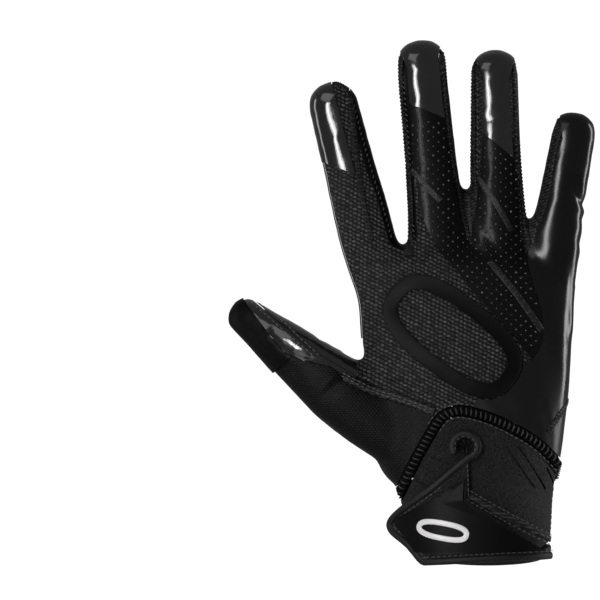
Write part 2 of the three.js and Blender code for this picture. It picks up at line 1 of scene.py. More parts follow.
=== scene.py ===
"""A football receiver glove for the right hand, worn form, fingers up.

Metres, +Z up, the back of the hand towards -Y and the thumb towards -X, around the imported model."""
import math
import random

import bmesh
import bpy
import numpy as np
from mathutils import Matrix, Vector
from mathutils.bvhtree import BVHTree
from mathutils.kdtree import KDTree


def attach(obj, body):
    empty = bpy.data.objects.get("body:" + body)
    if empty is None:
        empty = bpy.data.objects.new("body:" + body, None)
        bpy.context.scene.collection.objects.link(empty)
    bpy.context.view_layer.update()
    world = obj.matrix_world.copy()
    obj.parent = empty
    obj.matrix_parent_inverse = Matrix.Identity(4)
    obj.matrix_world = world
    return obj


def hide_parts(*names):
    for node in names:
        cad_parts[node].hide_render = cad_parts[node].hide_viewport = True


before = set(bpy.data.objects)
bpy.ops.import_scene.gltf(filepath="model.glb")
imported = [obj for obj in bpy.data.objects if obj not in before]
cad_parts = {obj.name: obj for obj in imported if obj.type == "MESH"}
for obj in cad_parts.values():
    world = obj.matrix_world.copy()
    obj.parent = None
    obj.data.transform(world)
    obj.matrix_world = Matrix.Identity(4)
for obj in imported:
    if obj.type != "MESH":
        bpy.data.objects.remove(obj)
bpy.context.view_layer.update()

# ---- The glove's form ------------------------------------------------------------------------------
# Every panel of the glove is sewn to follow the hand inside it. Its form is laid up first, as tubes for
# the hand, the fingers and the thumb that are blended into one skin, and each panel is cut out of it.
MM = 0.001
PALM_WIDTH, PALM_DEPTH = 100, 38
WRIST_WIDTH, WRIST_DEPTH = 63, 42
ROOT_HEIGHT = 136
FINGER_DEPTH, MIDDLE_LENGTH, MIDDLE_WIDTH = 20.4, 88, 25.4
FINGER_CURL, THUMB_FORWARD = 9, 16
THUMB_LENGTH, THUMB_WIDTH, THUMB_DEPTH = 60, 24, 23
SECTION_POWER = 2.3
SKIN_VOXEL = 2.0 * MM

# up is a share of the root height; left, right, back and palm are millimetres from the wrist's centre.
BODY_COLUMNS = ("up", "left", "right", "back", "palm", "arch", "slope")
WRIST_ROWS = [
    (-0.08, -0.455, 0.46, -0.49, 0.49),
    (0.0, -0.46, 0.465, -0.49, 0.49),
    (0.08, -0.5, 0.48, -0.5, 0.5),
    (0.21, -0.515, 0.495, -0.495, 0.49),
]
PALM_ROWS = [
    (0.275, -0.4, 0.325, -0.515, 0.53, 0, 0),
    (0.33, -0.435, 0.345, -0.5, 0.545, 0, 0),
    (0.44, -0.445, 0.365, -0.485, 0.54, 0, 0),
    (0.56, -0.475, 0.385, -0.47, 0.51, 0, 0),
    (0.69, -0.495, 0.394, -0.45, 0.47, 0, 0),
    (0.8, -0.508, 0.405, -0.43, 0.43, 0.005, 0.005),
    (0.87, -0.528, 0.414, -0.405, 0.4, 0.02, 0.015),
    (0.915, -0.535, 0.41, -0.36, 0.355, 0.03, 0.025),
    (0.945, -0.5, 0.37, -0.26, 0.26, 0.035, 0.03),
    (0.955, -0.38, 0.27, -0.12, 0.12, 0.035, 0.03),
]
FINGER_COLUMNS = ("across", "up", "lean", "length", "width", "tip")
FINGERS = {
    "index": (-0.469, 1.012, -14.4, 70, 24.4, 0.84),
    "middle": (-0.171, 1.002, -5.2, 88, 25.4, 0.81),
    "ring": (0.083, 1.002, -0.4, 83.5, 24.8, 0.785),
    "little": (0.311, 0.949, 10.8, 64.5, 23.6, 0.76),
}
# along is a share of the finger's length; taper runs from the root's width to the tip's.
FINGER_ROWS = [(-0.34, 0, 0.84), (-0.08, 0, 0.98), (0.14, 0.05, 1), (0.42, 0.68, 1), (0.62, 0.86, 1)]
THUMB_PLACE = (-0.58, 0.535, -51)
# along, wide and deep, as shares of the thumb's length, width and depth
THUMB_ROWS = [
    (-0.62, 0.98, 1.1), (-0.3, 1.2, 1.16), (0.0, 1.26, 1.12), (0.14, 1.18, 1.05),
    (0.34, 1.04, 0.97), (0.56, 0.89, 0.92), (0.78, 0.7, 0.84),
]
TIP_STEPS = [0, 0.2, 0.38, 0.55, 0.69, 0.8, 0.88, 0.94, 0.98, 0.995]


def rows_between(rows, steps):
    """The rows of a table with steps - 1 smooth rows put between each two (Catmull-Rom)."""
    table = np.array(rows, float)
    padded = np.vstack([2 * table[0] - table[1], table, 2 * table[-1] - table[-2]])
    made = []
    for k in range(len(table) - 1):
        a, b, c, d = padded[k : k + 4]
        for share in np.arange(steps) / steps:
            made.append(
                0.5 * (2 * b + (c - a) * share + (2 * a - 5 * b + 4 * c - d) * share**2
                       + (3 * b - a - 3 * c + d) * share**3)
            )
    return np.array(made + [table[-1]])


def curl_at(z):
    """How far the fingers have curled towards the palm at a height, in millimetres."""
    return FINGER_CURL * (np.maximum(0, z - ROOT_HEIGHT) / MIDDLE_LENGTH) ** 2


def thumb_forward_at(distance):
    return THUMB_FORWARD * np.maximum(0, distance / THUMB_LENGTH) ** 1.5


def limb_axis(across, up, lean):
    """A limb's root, its direction along and its direction across, as points of the back view."""
    angle = math.radians(lean)
    root = np.array([across * PALM_WIDTH, up * ROOT_HEIGHT])
    return root, np.array([math.sin(angle), math.cos(angle)]), np.array([math.cos(angle), -math.sin(angle)])


def take_up(name):
    """Selects nothing but one piece and makes it active, as a click on it does."""
    bpy.ops.object.select_all(action="DESELECT")
    piece = bpy.data.objects[name]
    piece.select_set(True)
    bpy.context.view_layer.objects.active = piece
    return piece


def apply_modifier(piece, kind, **settings):
    """Adds one modifier to a piece and applies it."""
    take_up(piece.name)
    modifier = piece.modifiers.new(kind.title(), kind)
    for setting, value in settings.items():
        setattr(modifier, setting, value)
    bpy.ops.object.modifier_apply(modifier=modifier.name)
    return piece


def coordinates(piece):
    """The points of a piece as an array, one row for each."""
    flat = np.empty(len(piece.data.vertices) * 3, np.float32)
    piece.data.vertices.foreach_get("co", flat)
    return flat.reshape(-1, 3).astype(float)


def put_coordinates(piece, points):
    piece.data.vertices.foreach_set("co", np.asarray(points, np.float32).ravel())
    piece.data.update()


def tube(name, sides, rings):
    """A closed tube: a disc is extruded once for each ring, and each ring is then moved into place.

    rings is a list of functions from the section's (across, deep), each -1 to 1, to a point in mm."""
    bpy.ops.object.select_all(action="DESELECT")
    bpy.ops.mesh.primitive_circle_add(vertices=sides, radius=1, fill_type="NGON")
    piece = bpy.context.active_object
    piece.name = name
    bpy.ops.object.mode_set(mode="EDIT")
    bpy.ops.mesh.select_all(action="SELECT")
    for _ in rings[1:]:
        bpy.ops.mesh.extrude_region_move(TRANSFORM_OT_translate={"value": (0, 0, 1)})
    bpy.ops.object.mode_set(mode="OBJECT")
    raw = coordinates(piece)
    level = np.rint(raw[:, 2]).astype(int)
    section = np.sign(raw[:, :2]) * np.abs(raw[:, :2]) ** (2 / SECTION_POWER)
    placed = np.empty_like(raw)
    for k, ring in enumerate(rings):
        here = level == k
        placed[here] = np.stack(ring(section[here, 0], section[here, 1]), axis=1)
    put_coordinates(piece, placed * MM)
    return piece


def body_ring(up, left, right, back, palm, arch, slope):
    def ring(across, deep):
        x = (left + right) / 2 + (right - left) / 2 * across
        y = (back + palm) / 2 + (palm - back) / 2 * deep
        z = (up + arch * (1 - across**2) - slope * across) * ROOT_HEIGHT
        return x, y, z + 0 * x
    return ring


def limb_ring(axis, distance, half, half_depth, y):
    root, along, aside = axis
    def ring(across, deep):
        page = root + along * distance + np.outer(half * across, aside)
        return page[:, 0], y + half_depth * deep, page[:, 1]
    return ring


def tip_rings(axis, length, half, half_depth, y_at):
    """The blunt round of a fingertip."""
    rings = []
    for step in TIP_STEPS:
        share = (1 - step**SECTION_POWER) ** (1 / SECTION_POWER)
        distance = length - half * (1 - step)
        rings.append(limb_ring(axis, distance, half * share, half_depth * share, y_at(distance)))
    return rings


wrist_scale = np.array([1, WRIST_WIDTH, WRIST_WIDTH, WRIST_DEPTH, WRIST_DEPTH, 1, 1])
palm_scale = np.array([1, PALM_WIDTH, PALM_WIDTH, PALM_DEPTH, PALM_DEPTH, 1, 1])
body_rows = [np.array([*row, 0, 0]) * wrist_scale for row in WRIST_ROWS]
body_rows += [np.array(row) * palm_scale for row in PALM_ROWS]
skin = tube("skin", 72, [body_ring(*row) for row in rows_between(body_rows, 5)])
tubes = [skin]

for finger_name, (across, up, lean, length, width, tip) in FINGERS.items():
    axis = limb_axis(across, up, lean)
    depth_share = FINGER_DEPTH / MIDDLE_WIDTH
    height_at = lambda distance: curl_at(axis[0][1] + axis[1][1] * distance)
    rings = []
    for along, taper, swell in rows_between(FINGER_ROWS, 6)[:-1]:
        half = (1 + (tip - 1) * taper) * swell * width / 2
        distance = along * length
        if distance < length - tip * width / 2:
            rings.append(limb_ring(axis, distance, half, half * depth_share, height_at(distance)))
    half = tip * width / 2
    rings += tip_rings(axis, length, half, half * depth_share, height_at)
    tubes.append(tube(f"tube_{finger_name}", 40, rings))

thumb_axis = limb_axis(*THUMB_PLACE)
rings = []
for along, wide, deep in rows_between(THUMB_ROWS, 5)[:-1]:
    distance = along * THUMB_LENGTH
    rings.append(limb_ring(thumb_axis, distance, wide * THUMB_WIDTH / 2, deep * THUMB_DEPTH / 2,
                           thumb_forward_at(distance)))
_, wide, deep = THUMB_ROWS[-1]
rings += tip_rings(thumb_axis, THUMB_LENGTH, wide * THUMB_WIDTH / 2, deep * THUMB_DEPTH / 2,
                   thumb_forward_at)[3:]
tubes.append(tube("tube_thumb", 40, rings))

bpy.ops.object.select_all(action="DESELECT")
for part in tubes:
    part.select_set(True)
bpy.context.view_layer.objects.active = skin
bpy.ops.object.join()
skin.data.remesh_voxel_size = SKIN_VOXEL
bpy.ops.object.voxel_remesh()
apply_modifier(skin, "SMOOTH", factor=0.5, iterations=8)

# The fingers' roots flow into the back and the palm, so the skin is smoothed far more there.
mm = coordinates(skin) / MM
group = skin.vertex_groups.new(name="roots")
at_roots = np.clip((mm[:, 2] - 104) / 14, 0, 1) * np.clip((158 - mm[:, 2]) / 12, 0, 1)
at_thumb = np.clip(1 - np.hypot(mm[:, 0] + 50, mm[:, 2] - 68) / 22, 0, 1)
for weight in (0.25, 0.5, 0.75, 1.0):
    chosen = np.nonzero(np.maximum(at_roots, at_thumb) > weight - 0.2)[0]
    group.add([int(k) for k in chosen], weight, "REPLACE")
apply_modifier(skin, "SMOOTH", factor=0.5, iterations=26, vertex_group="roots")

# ---- Sculpting and filling the form -----------------------------------------------------------------
# A worn glove is pulled in along its seams and puckers where the hand bends. The folds are pressed into
# the form, and the cloth between the seams is then filled out by air pressure, as the hand fills it.
SKIN_SWELL_CAP = 0.9 * MM
SKIN_AIR_PRESSURE = 4
SKIN_FRAMES = 20


def on_hand(shares):
    """Points of the back view in mm, from shares of the palm's width and of the root height."""
    return np.array([(across * PALM_WIDTH, up * ROOT_HEIGHT) for across, up in shares])


def moved_aside(line, distance):
    """A line moved to the left of its direction."""
    run = np.gradient(line, axis=0)
    normal = np.stack([-run[:, 1], run[:, 0]], axis=1)
    return line + distance * normal / np.linalg.norm(normal, axis=1, keepdims=True)


def evenly(line, pitch):
    """Points at an even pitch along a line of two or three columns."""
    steps = np.linalg.norm(np.diff(line, axis=0), axis=1)
    along = np.concatenate([[0], np.cumsum(steps)])
    count = max(2, int(round(along[-1] / pitch)) + 1)
    stations = np.linspace(0, along[-1], count)
    return np.stack([np.interp(stations, along, column) for column in line.T], axis=1)


def nearest_on_line(page, line):
    """Each point's distance from a line, and how far along it the nearest point lies, from 0 to 1."""
    best = np.full(len(page), np.inf)
    share = np.zeros(len(page))
    for k, (a, b) in enumerate(zip(line[:-1], line[1:])):
        run = b - a
        t = np.clip(((page - a) @ run) / (run @ run), 0, 1)
        distance = np.linalg.norm(page - a - np.outer(t, run), axis=1)
        nearer = distance < best
        best[nearer] = distance[nearer]
        share[nearer] = (k + t[nearer]) / (len(line) - 1)
    return best, share


def middle_sheet(points):
    """The depth, in mm, of the sheet that parts the palm side from the back."""
    return curl_at(points[:, 2])


# side, deep and wide in mm (below nothing is proud), and the fold's line on the back view
FOLD_COLUMNS = ("side", "deep", "wide", "line")
FOLDS = [
    ("both", 1.3, 1.5, [(52, 150), (47, 152), (42.5, 158), (41, 165)]),
    ("both", 1.1, 1.4, [(53, 141), (48, 144), (44, 149)]),
    ("both", -0.7, 1.6, [(52, 146), (47.5, 148), (44.5, 152)]),
    ("both", 1.0, 1.5, [(51, 131), (46, 134), (42.5, 140)]),
    ("both", 0.8, 1.5, [(49, 98), (44, 103), (41, 112)]),
    ("both", 0.7, 1.4, [(47, 86), (42.5, 90), (40, 97)]),
    ("back", 0.6, 1.2, [(39.5, 128), (38.5, 115), (37.6, 100), (37, 86)]),
    ("back", -0.5, 1.3, [(41.5, 126), (40.5, 113), (39.6, 98), (39, 84)]),
    ("back", 0.4, 1.4, [(-58, 181), (-52, 183), (-46, 182)]),
    ("back", 0.35, 1.4, [(-30, 192), (-24, 193.5), (-18, 192.5)]),
    ("back", 0.35, 1.4, [(0, 189), (6, 190.5), (13, 189)]),
    ("back", 0.8, 2.0, [(-40, 45), (-41.5, 40), (-39, 35)]),
    ("back", -1.5, 2.4, [(-45, 42), (-44.5, 38), (-41, 33.5)]),
    ("back", 1.1, 1.6, [(-55.5, 80.7), (-61, 76.5), (-67, 71)]),
    ("back", -1.0, 1.7, [(-58.5, 82.5), (-64, 78.5), (-70, 73)]),
    ("back", -1.5, 1.8, [(-99, 111), (-96, 106), (-91.5, 99.5), (-83.6, 90.4), (-76, 86.6), (-64, 84.6)]),
    ("back", 0.6, 1.5, [(-92, 104), (-85, 96.5), (-78, 91.5), (-69, 88)]),
    ("back", 0.5, 1.2, [(-84, 86), (-78, 81), (-75, 74)]),
    ("back", 0.5, 1.4, [(-72, 62), (-64, 58), (-58, 51)]),
    ("back", 0.4, 1.5, [(-62, 66), (-52, 60), (-46, 51)]),
    ("palm", 0.9, 1.6, [(-50, 97), (-56, 92), (-60, 84)]),
    ("palm", 0.8, 1.5, [(-46, 93), (-50, 86), (-52, 78)]),
    ("palm", -0.7, 2.2, [(-53, 97), (-58, 90), (-60, 82)]),
    ("palm", 0.6, 1.8, [(-66, 98), (-70, 93), (-72, 86)]),
    ("palm", 0.6, 2.4, [(-38, 113), (-20, 107), (0, 109), (22, 116)]),
    ("palm", 0.5, 2.6, [(30, 96), (12, 92), (-6, 84), (-14, 70)]),
    ("palm", 0.7, 1.6, [(-28, 32), (-16, 28), (0, 27), (16, 30)]),
    ("palm", 0.6, 1.4, [(-26, 26), (-10, 22.5), (8, 22.5), (22, 26)]),
    ("palm", -0.6, 1.8, [(-27, 29), (-12, 25.5), (6, 25), (20, 28)]),
]


def point_normals(piece):
    return np.array([vertex.normal[:] for vertex in piece.data.vertices])


def press_folds(piece, folds):
    """Presses folds into a piece along its normals; a negative depth raises a ridge."""
    points = coordinates(piece)
    normals = point_normals(piece)
    mm = points / MM
    to_palm = mm[:, 1] > middle_sheet(mm)
    depth = np.zeros(len(points))
    for side, deep, wide, line in folds:
        distance, share = nearest_on_line(mm[:, [0, 2]], rows_between(line, 5))
        fades = np.sin(math.pi * np.clip(share, 0.04, 0.96)) ** 0.6
        near = (to_palm == (side == "palm")) | (side == "both")
        depth += np.where(near, deep * fades * np.exp(-((distance / wide) ** 2)), 0)
    put_coordinates(piece, points - normals * depth[:, None] * MM)


def dip_along(piece, side, deep, wide, line):
    """Pulls a piece in along a sewn line, evenly over its whole length."""
    points = coordinates(piece)
    mm = points / MM
    distance, _ = nearest_on_line(mm[:, [0, 2]], line)
    here = (mm[:, 1] > middle_sheet(mm)) == (side == "palm")
    depth = np.where(here, deep * np.exp(-((distance / wide) ** 2)), 0)
    put_coordinates(piece, points - point_normals(piece) * depth[:, None] * MM)


def fill_with_air(piece):
    """Fills the cloth out by pressure while its sewn lines hold it, and caps how far a point may move."""
    before = coordinates(piece)
    mm = before / MM
    page = mm[:, [0, 2]]
    sewn = np.zeros(len(before))
    for side, line in SEWN_LINES:
        distance, _ = nearest_on_line(page, line)
        here = (mm[:, 1] > middle_sheet(mm)) == (side == "palm")
        sewn = np.maximum(sewn, np.where(here & (distance < 1.6), 1, 0))
    sewn = np.maximum(sewn, (mm[:, 2] < 6).astype(float))
    group = piece.vertex_groups.new(name="sewn")
    group.add([int(k) for k in np.nonzero(sewn)[0]], 1, "REPLACE")
    take_up(piece.name)
    cloth = piece.modifiers.new("Air", "CLOTH")
    cloth.settings.quality = 4
    cloth.settings.mass = 0.15
    cloth.settings.tension_stiffness = 12
    cloth.settings.compression_stiffness = 12
    cloth.settings.bending_stiffness = 0.4
    cloth.settings.vertex_group_mass = "sewn"
    cloth.settings.use_pressure = True
    cloth.settings.uniform_pressure_force = SKIN_AIR_PRESSURE
    cloth.settings.effector_weights.gravity = 0
    cloth.collision_settings.use_collision = False
    scene = bpy.context.scene
    for number in range(1, SKIN_FRAMES + 1):
        scene.frame_set(number)
    filled = piece.evaluated_get(bpy.context.evaluated_depsgraph_get())
    after = np.array([vertex.co[:] for vertex in filled.data.vertices])
    piece.modifiers.remove(cloth)
    scene.frame_set(1)
    move = after - before
    length = np.linalg.norm(move, axis=1, keepdims=True)
    share = np.minimum(1, SKIN_SWELL_CAP / np.maximum(length, 1e-9))
    put_coordinates(piece, before + move * share)

# The sewn lines: the palm's thumb seam and web, the back's welt and thumb band, and the parting lines.
THUMB_ARC = rows_between(on_hand([
    (-0.365, 0.8), (-0.235, 0.703), (-0.14, 0.602), (-0.107, 0.514),
    (-0.124, 0.404), (-0.197, 0.309), (-0.295, 0.255), (-0.4, 0.235)]), 4)
WEB_LINE = np.array([*on_hand([(-0.365, 0.8), (-0.428, 0.55), (-0.71, 0.67)]), (-220, 1.6 * ROOT_HEIGHT)])
WELT_LINE = rows_between(on_hand([
    (-0.35, 0.2), (-0.29, 0.3), (-0.228, 0.385), (-0.165, 0.458), (-0.11, 0.48), (-0.05, 0.48),
    (0.056, 0.457), (0.18, 0.412), (0.266, 0.368), (0.36, 0.3), (0.46, 0.24)]), 5)
BAND_LINE = rows_between(on_hand([
    (-0.578, 0.592), (-0.53, 0.572), (-0.454, 0.545), (-0.36, 0.525), (-0.257, 0.498), (-0.19, 0.478)]), 4)
HEM_LINE = rows_between(on_hand([
    (-0.5, 0.14), (-0.34, 0.09), (-0.29, 0.06), (-0.22, 0.02), (-0.08, 0.002),
    (0.1, 0.0), (0.24, 0.01), (0.31, 0.035), (0.36, 0.06), (0.5, 0.1)]), 4)
THUMB_RIDGE = on_hand([
    (-1.05, 0.9), (-0.994, 0.813), (-0.913, 0.735), (-0.836, 0.665),
    (-0.76, 0.64), (-0.634, 0.618), (-0.565, 0.583), (-0.49, 0.57)])
CROTCH_LINE = on_hand([(-0.515, 0.6), (-0.525, 0.65), (-0.56, 0.72), (-0.85, 1.0)])
TAIL_EDGES = {-1: on_hand([(-0.34, 0.235), (-0.155, 0.04)]), 1: on_hand([(0.335, 0.235), (0.22, 0.04)])}
SEWN_LINES = [
    ("palm", THUMB_ARC), ("palm", WEB_LINE[:3]), ("back", WELT_LINE), ("back", BAND_LINE),
    ("palm", TAIL_EDGES[-1]), ("palm", TAIL_EDGES[1]), ("back", THUMB_RIDGE[1:]),
]

press_folds(skin, FOLDS)
fill_with_air(skin)
for side, line in SEWN_LINES:
    dip_along(skin, side, 0.35, 1.8, line)
apply_modifier(skin, "SUBSURF", levels=1, render_levels=1)

# ---- Palm panels -----------------------------------------------------------------------------------
# The palm is glossy coated cloth, perforated, in three panels: the palm with the fronts of the fingers,
# the thumb's oval and the web between them. They are cut with 0.3 mm seams and sewn with black thread.
WALL = 1.2
SEAM_GAP = 0.3
HEM_HEIGHT = 4.2
FOURCHETTE_WIDTH, FOURCHETTE_TO_BACK, FOURCHETTE_DROP = 12, 1.4, 9
FAR = 220
PALM_AREA, THUMB_PALM_AREA, WEB_AREA = 0.0195, 0.0030, 0.0030


def rod_from(outline, run):
    """A closed prism: an outline of points in mm is filled and extruded along run."""
    bpy.ops.object.select_all(action="DESELECT")
    bpy.ops.mesh.primitive_circle_add(vertices=len(outline), radius=1, fill_type="NGON")
    piece = bpy.context.active_object
    put_coordinates(piece, np.asarray(outline, float) * MM)
    bpy.ops.object.mode_set(mode="EDIT")
    bpy.ops.mesh.select_all(action="SELECT")
    bpy.ops.mesh.extrude_region_move(TRANSFORM_OT_translate={"value": tuple(np.array(run, float) * MM)})
    bpy.ops.mesh.select_all(action="SELECT")
    bpy.ops.mesh.normals_make_consistent(inside=False)
    bpy.ops.object.mode_set(mode="OBJECT")
    piece.hide_render = True
    cutters.append(piece)
    return piece


def prism(page, low=-FAR, high=FAR):
    """A cutter with an outline of the back view, which runs through the glove from low to high in Y."""
    page = np.asarray(page, float)
    outline = np.stack([page[:, 0], np.full(len(page), float(low)), page[:, 1]], axis=1)
    return rod_from(outline, (0, high - low, 0))


def stroke(line, width):
    """A cutter as wide as a seam or a band, along a line of the back view."""
    line = np.asarray(line, float)
    return prism(np.vstack([moved_aside(line, width / 2), moved_aside(line, -width / 2)[::-1]]))


def carve(piece, keep=(), remove=(), add=()):
    """Cuts a piece: of each solid in keep only what it covers stays, and what remove covers goes."""
    for operation, tools in (("INTERSECT", keep), ("DIFFERENCE", remove), ("UNION", add)):
        for tool in tools:
            apply_modifier(piece, "BOOLEAN", operation=operation, solver="MANIFOLD", object=tool)
    return piece


def copy_of(piece, name):
    copy = piece.copy()
    copy.data = piece.data.copy()
    copy.name = copy.data.name = name
    copy.hide_render = False
    bpy.context.scene.collection.objects.link(copy)
    return copy


def as_cutter(piece):
    piece.hide_render = True
    cutters.append(piece)
    return piece


def above_hem(distance):
    """All that lies above the hem's line, moved up by a distance."""
    line = moved_aside(HEM_LINE, distance)
    return prism([*line, (FAR, line[-1][1]), (FAR, FAR + 60), (-FAR, FAR + 60), (-FAR, line[0][1])])


def behind_sheet(shift):
    """All that lies on the back's side of the curled sheet that halves the glove."""
    heights = np.linspace(ROOT_HEIGHT, ROOT_HEIGHT + 1.4 * MIDDLE_LENGTH, 9)
    profile = [(-FAR, -FAR), (shift, -FAR)]
    profile += [(curl_at(z) + shift, z) for z in heights]
    profile += [(-FAR, heights[-1])]
    return rod_from([(-FAR, y, z) for y, z in profile], (2 * FAR, 0, 0))


def behind_thumb(shift):
    """The same for the thumb, whose middle sheet leans to the front along its own axis."""
    root, along, aside = thumb_axis
    reach = 1.2 * THUMB_LENGTH
    profile = [(-FAR, -FAR), (-FAR, shift)]
    profile += [(d, thumb_forward_at(d) + shift) for d in np.linspace(0, reach, 10)]
    profile += [(FAR, thumb_forward_at(reach) + shift), (FAR, -FAR)]
    outline = []
    for distance, y in profile:
        page = root + along * distance - aside * FAR
        outline.append((page[0], y, page[1]))
    return rod_from(outline, (2 * FAR * aside[0], 0, 2 * FAR * aside[1]))


def back_of(shift, thumb_places):
    """The back half of the glove: behind the hand's sheet, and behind the thumb's in the thumb's zone."""
    half = carve(behind_sheet(shift), remove=[thumb_zone])
    for place in thumb_places:
        carve(half, add=[carve(behind_thumb(shift), keep=[thumb_zone, place])])
    return half


def layer(low, high):
    """The wall between two heights over the form, in mm, as a closed shell; each is made only once."""
    if (low, high) not in layers:
        shell = copy_of(skin, f"layer_{len(layers)}")
        put_coordinates(shell, coordinates(skin) + skin_normals * high * MM)
        apply_modifier(shell, "SOLIDIFY", thickness=(high - low) * MM, offset=-1)
        shell.hide_render = True
        layers[low, high] = shell
    return layers[low, high]


def panel(name, shell, keep=(), remove=()):
    """A panel of the glove, cut out of a layer."""
    piece = carve(copy_of(shell, name), keep, remove)
    return smooth_faces(piece)


def smooth_faces(piece, sharp_from=38):
    take_up(piece.name)
    bpy.ops.object.shade_smooth_by_angle(angle=math.radians(sharp_from))
    return piece


def fourchette_place(first, second, grow):
    """The strip between two neighbouring fingers, from below their crotch to near the shorter tip."""
    edges = []
    for inwards, name in ((1, first), (-1, second)):
        across, up, lean, length, width, tip = FINGERS[name]
        root, along, aside = limb_axis(across, up, lean)
        reach = width * tip
        stations = [(-FOURCHETTE_DROP, 0.2), (length - reach, 0.2),
                    (length - 0.12 * reach, 0.45), (length - 0.12 * reach, 1)]
        edge = [root + along * distance + aside * inwards * share * reach for distance, share in stations]
        edges.append(np.array(edge) - [inwards * grow, 0])
    left, right = edges
    foot = [(left[0][0] + right[0][0]) / 2, min(left[0][1], right[0][1]) - grow]
    half = FOURCHETTE_WIDTH / 2 + grow
    place = prism([*right[::-1], foot, *left])
    return carve(place, keep=[behind_sheet(half - FOURCHETTE_TO_BACK)],
                 remove=[behind_sheet(-half - FOURCHETTE_TO_BACK)])


def add_node(tree, kind, *inputs, **settings):
    made = tree.nodes.new(kind)
    for setting, value in settings.items():
        setattr(made, setting, value)
    for slot, value in zip(made.inputs, inputs):
        if isinstance(value, bpy.types.NodeSocket):
            tree.links.new(value, slot)
        elif value is not None:
            slot.default_value = value
    return made


def sums(tree, operation, *inputs):
    return add_node(tree, "ShaderNodeMath", *inputs, operation=operation).outputs[0]


def noise(tree, vector, scale, detail=3.0, roughness=0.5):
    made = tree.nodes.new("ShaderNodeTexNoise")
    tree.links.new(vector, made.inputs["Vector"])
    made.inputs["Scale"].default_value = scale
    made.inputs["Detail"].default_value = detail
    made.inputs["Roughness"].default_value = roughness
    return made.outputs["Fac"]


def new_group(name, inputs, outputs):
    tree = bpy.data.node_groups.new(name, "ShaderNodeTree")
    for socket, kind in inputs:
        tree.interface.new_socket(socket, in_out="INPUT", socket_type=kind)
    for socket, kind in outputs:
        tree.interface.new_socket(socket, in_out="OUTPUT", socket_type=kind)
    given = tree.nodes.new("NodeGroupInput")
    result = tree.nodes.new("NodeGroupOutput")
    return tree, given, result


FLOAT, VECTOR = "NodeSocketFloat", "NodeSocketVector"

# Staggered raised pills: 1 at the middle of a pill and 0 between them.
pills, given, result = new_group("raised_pills", [("Across", FLOAT), ("Up", FLOAT), ("Pitch Across", FLOAT), ("Pitch Up", FLOAT),
                                                  ("Shift", FLOAT), ("Long", FLOAT), ("Wide", FLOAT)], [("Height", FLOAT), ("Chance", FLOAT)])
v = sums(pills, "DIVIDE", given.outputs["Up"], given.outputs["Pitch Up"])
row = sums(pills, "FLOOR", v)
u = sums(pills, "MULTIPLY_ADD", row, given.outputs["Shift"], sums(pills, "DIVIDE", given.outputs["Across"], given.outputs["Pitch Across"]))
fu = sums(pills, "SUBTRACT", sums(pills, "FRACT", u), 0.5)
fv = sums(pills, "SUBTRACT", sums(pills, "FRACT", v), 0.5)
ru = sums(pills, "DIVIDE", fu, sums(pills, "MULTIPLY", given.outputs["Long"], 0.5))
rv = sums(pills, "DIVIDE", fv, sums(pills, "MULTIPLY", given.outputs["Wide"], 0.5))
square = sums(pills, "ADD", sums(pills, "POWER", sums(pills, "ABSOLUTE", ru), 2.0), sums(pills, "POWER", sums(pills, "ABSOLUTE", rv), 2.0))
dome = sums(pills, "SQRT", sums(pills, "MAXIMUM", sums(pills, "SUBTRACT", 1.0, square), 0.0))
pills.links.new(dome, result.inputs["Height"])
cell = add_node(pills, "ShaderNodeCombineXYZ", sums(pills, "FLOOR", u), row, 0.0).outputs[0]
chance = pills.nodes.new("ShaderNodeTexWhiteNoise")
pills.links.new(cell, chance.inputs["Vector"])
pills.links.new(chance.outputs["Value"], result.inputs["Chance"])


def use_group(tree, group, **inputs):
    made = tree.nodes.new("ShaderNodeGroup")
    made.node_tree = group
    for socket, value in inputs.items():
        slot = made.inputs[socket.replace("_", " ")]
        if isinstance(value, bpy.types.NodeSocket):
            tree.links.new(value, slot)
        else:
            slot.default_value = value
    return made


def start_finish(name):
    material = bpy.data.materials.new(name)
    material.use_nodes = True
    tree = material.node_tree
    shader = tree.nodes["Principled BSDF"]
    place = tree.nodes.new("ShaderNodeTexCoord").outputs["Object"]
    split = add_node(tree, "ShaderNodeSeparateXYZ", place).outputs
    return material, tree, shader, place, split


def tone(tree, mask, low, high):
    """A colour between two greys, (r, g, b) each, by a mask."""
    ramp = tree.nodes.new("ShaderNodeMix")
    ramp.data_type = "RGBA"
    tree.links.new(mask, ramp.inputs["Factor"])
    ramp.inputs["A"].default_value = (*low, 1)
    ramp.inputs["B"].default_value = (*high, 1)
    return ramp.outputs["Result"]


def span(tree, mask, low, high):
    made = tree.nodes.new("ShaderNodeMapRange")
    tree.links.new(mask, made.inputs["Value"])
    made.inputs["To Min"].default_value = low
    made.inputs["To Max"].default_value = high
    return made.outputs["Result"]


def bump(tree, shader, height, deep, below=None):
    made = tree.nodes.new("ShaderNodeBump")
    made.inputs["Distance"].default_value = deep * MM
    made.inputs["Strength"].default_value = 1.0
    tree.links.new(height, made.inputs["Height"])
    if below is not None:
        tree.links.new(below, made.inputs["Normal"])
    tree.links.new(made.outputs["Normal"], shader.inputs["Normal"])
    return made.outputs["Normal"]


def wear(pieces, material, node=None):
    """Gives pieces their finish and fixes them to the glove; a piece may stand for a node of the CAD model."""
    for piece in pieces:
        piece.data.materials.clear()
        piece.data.materials.append(material)
        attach(piece, "root")
        if node is not None:
            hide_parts(node)


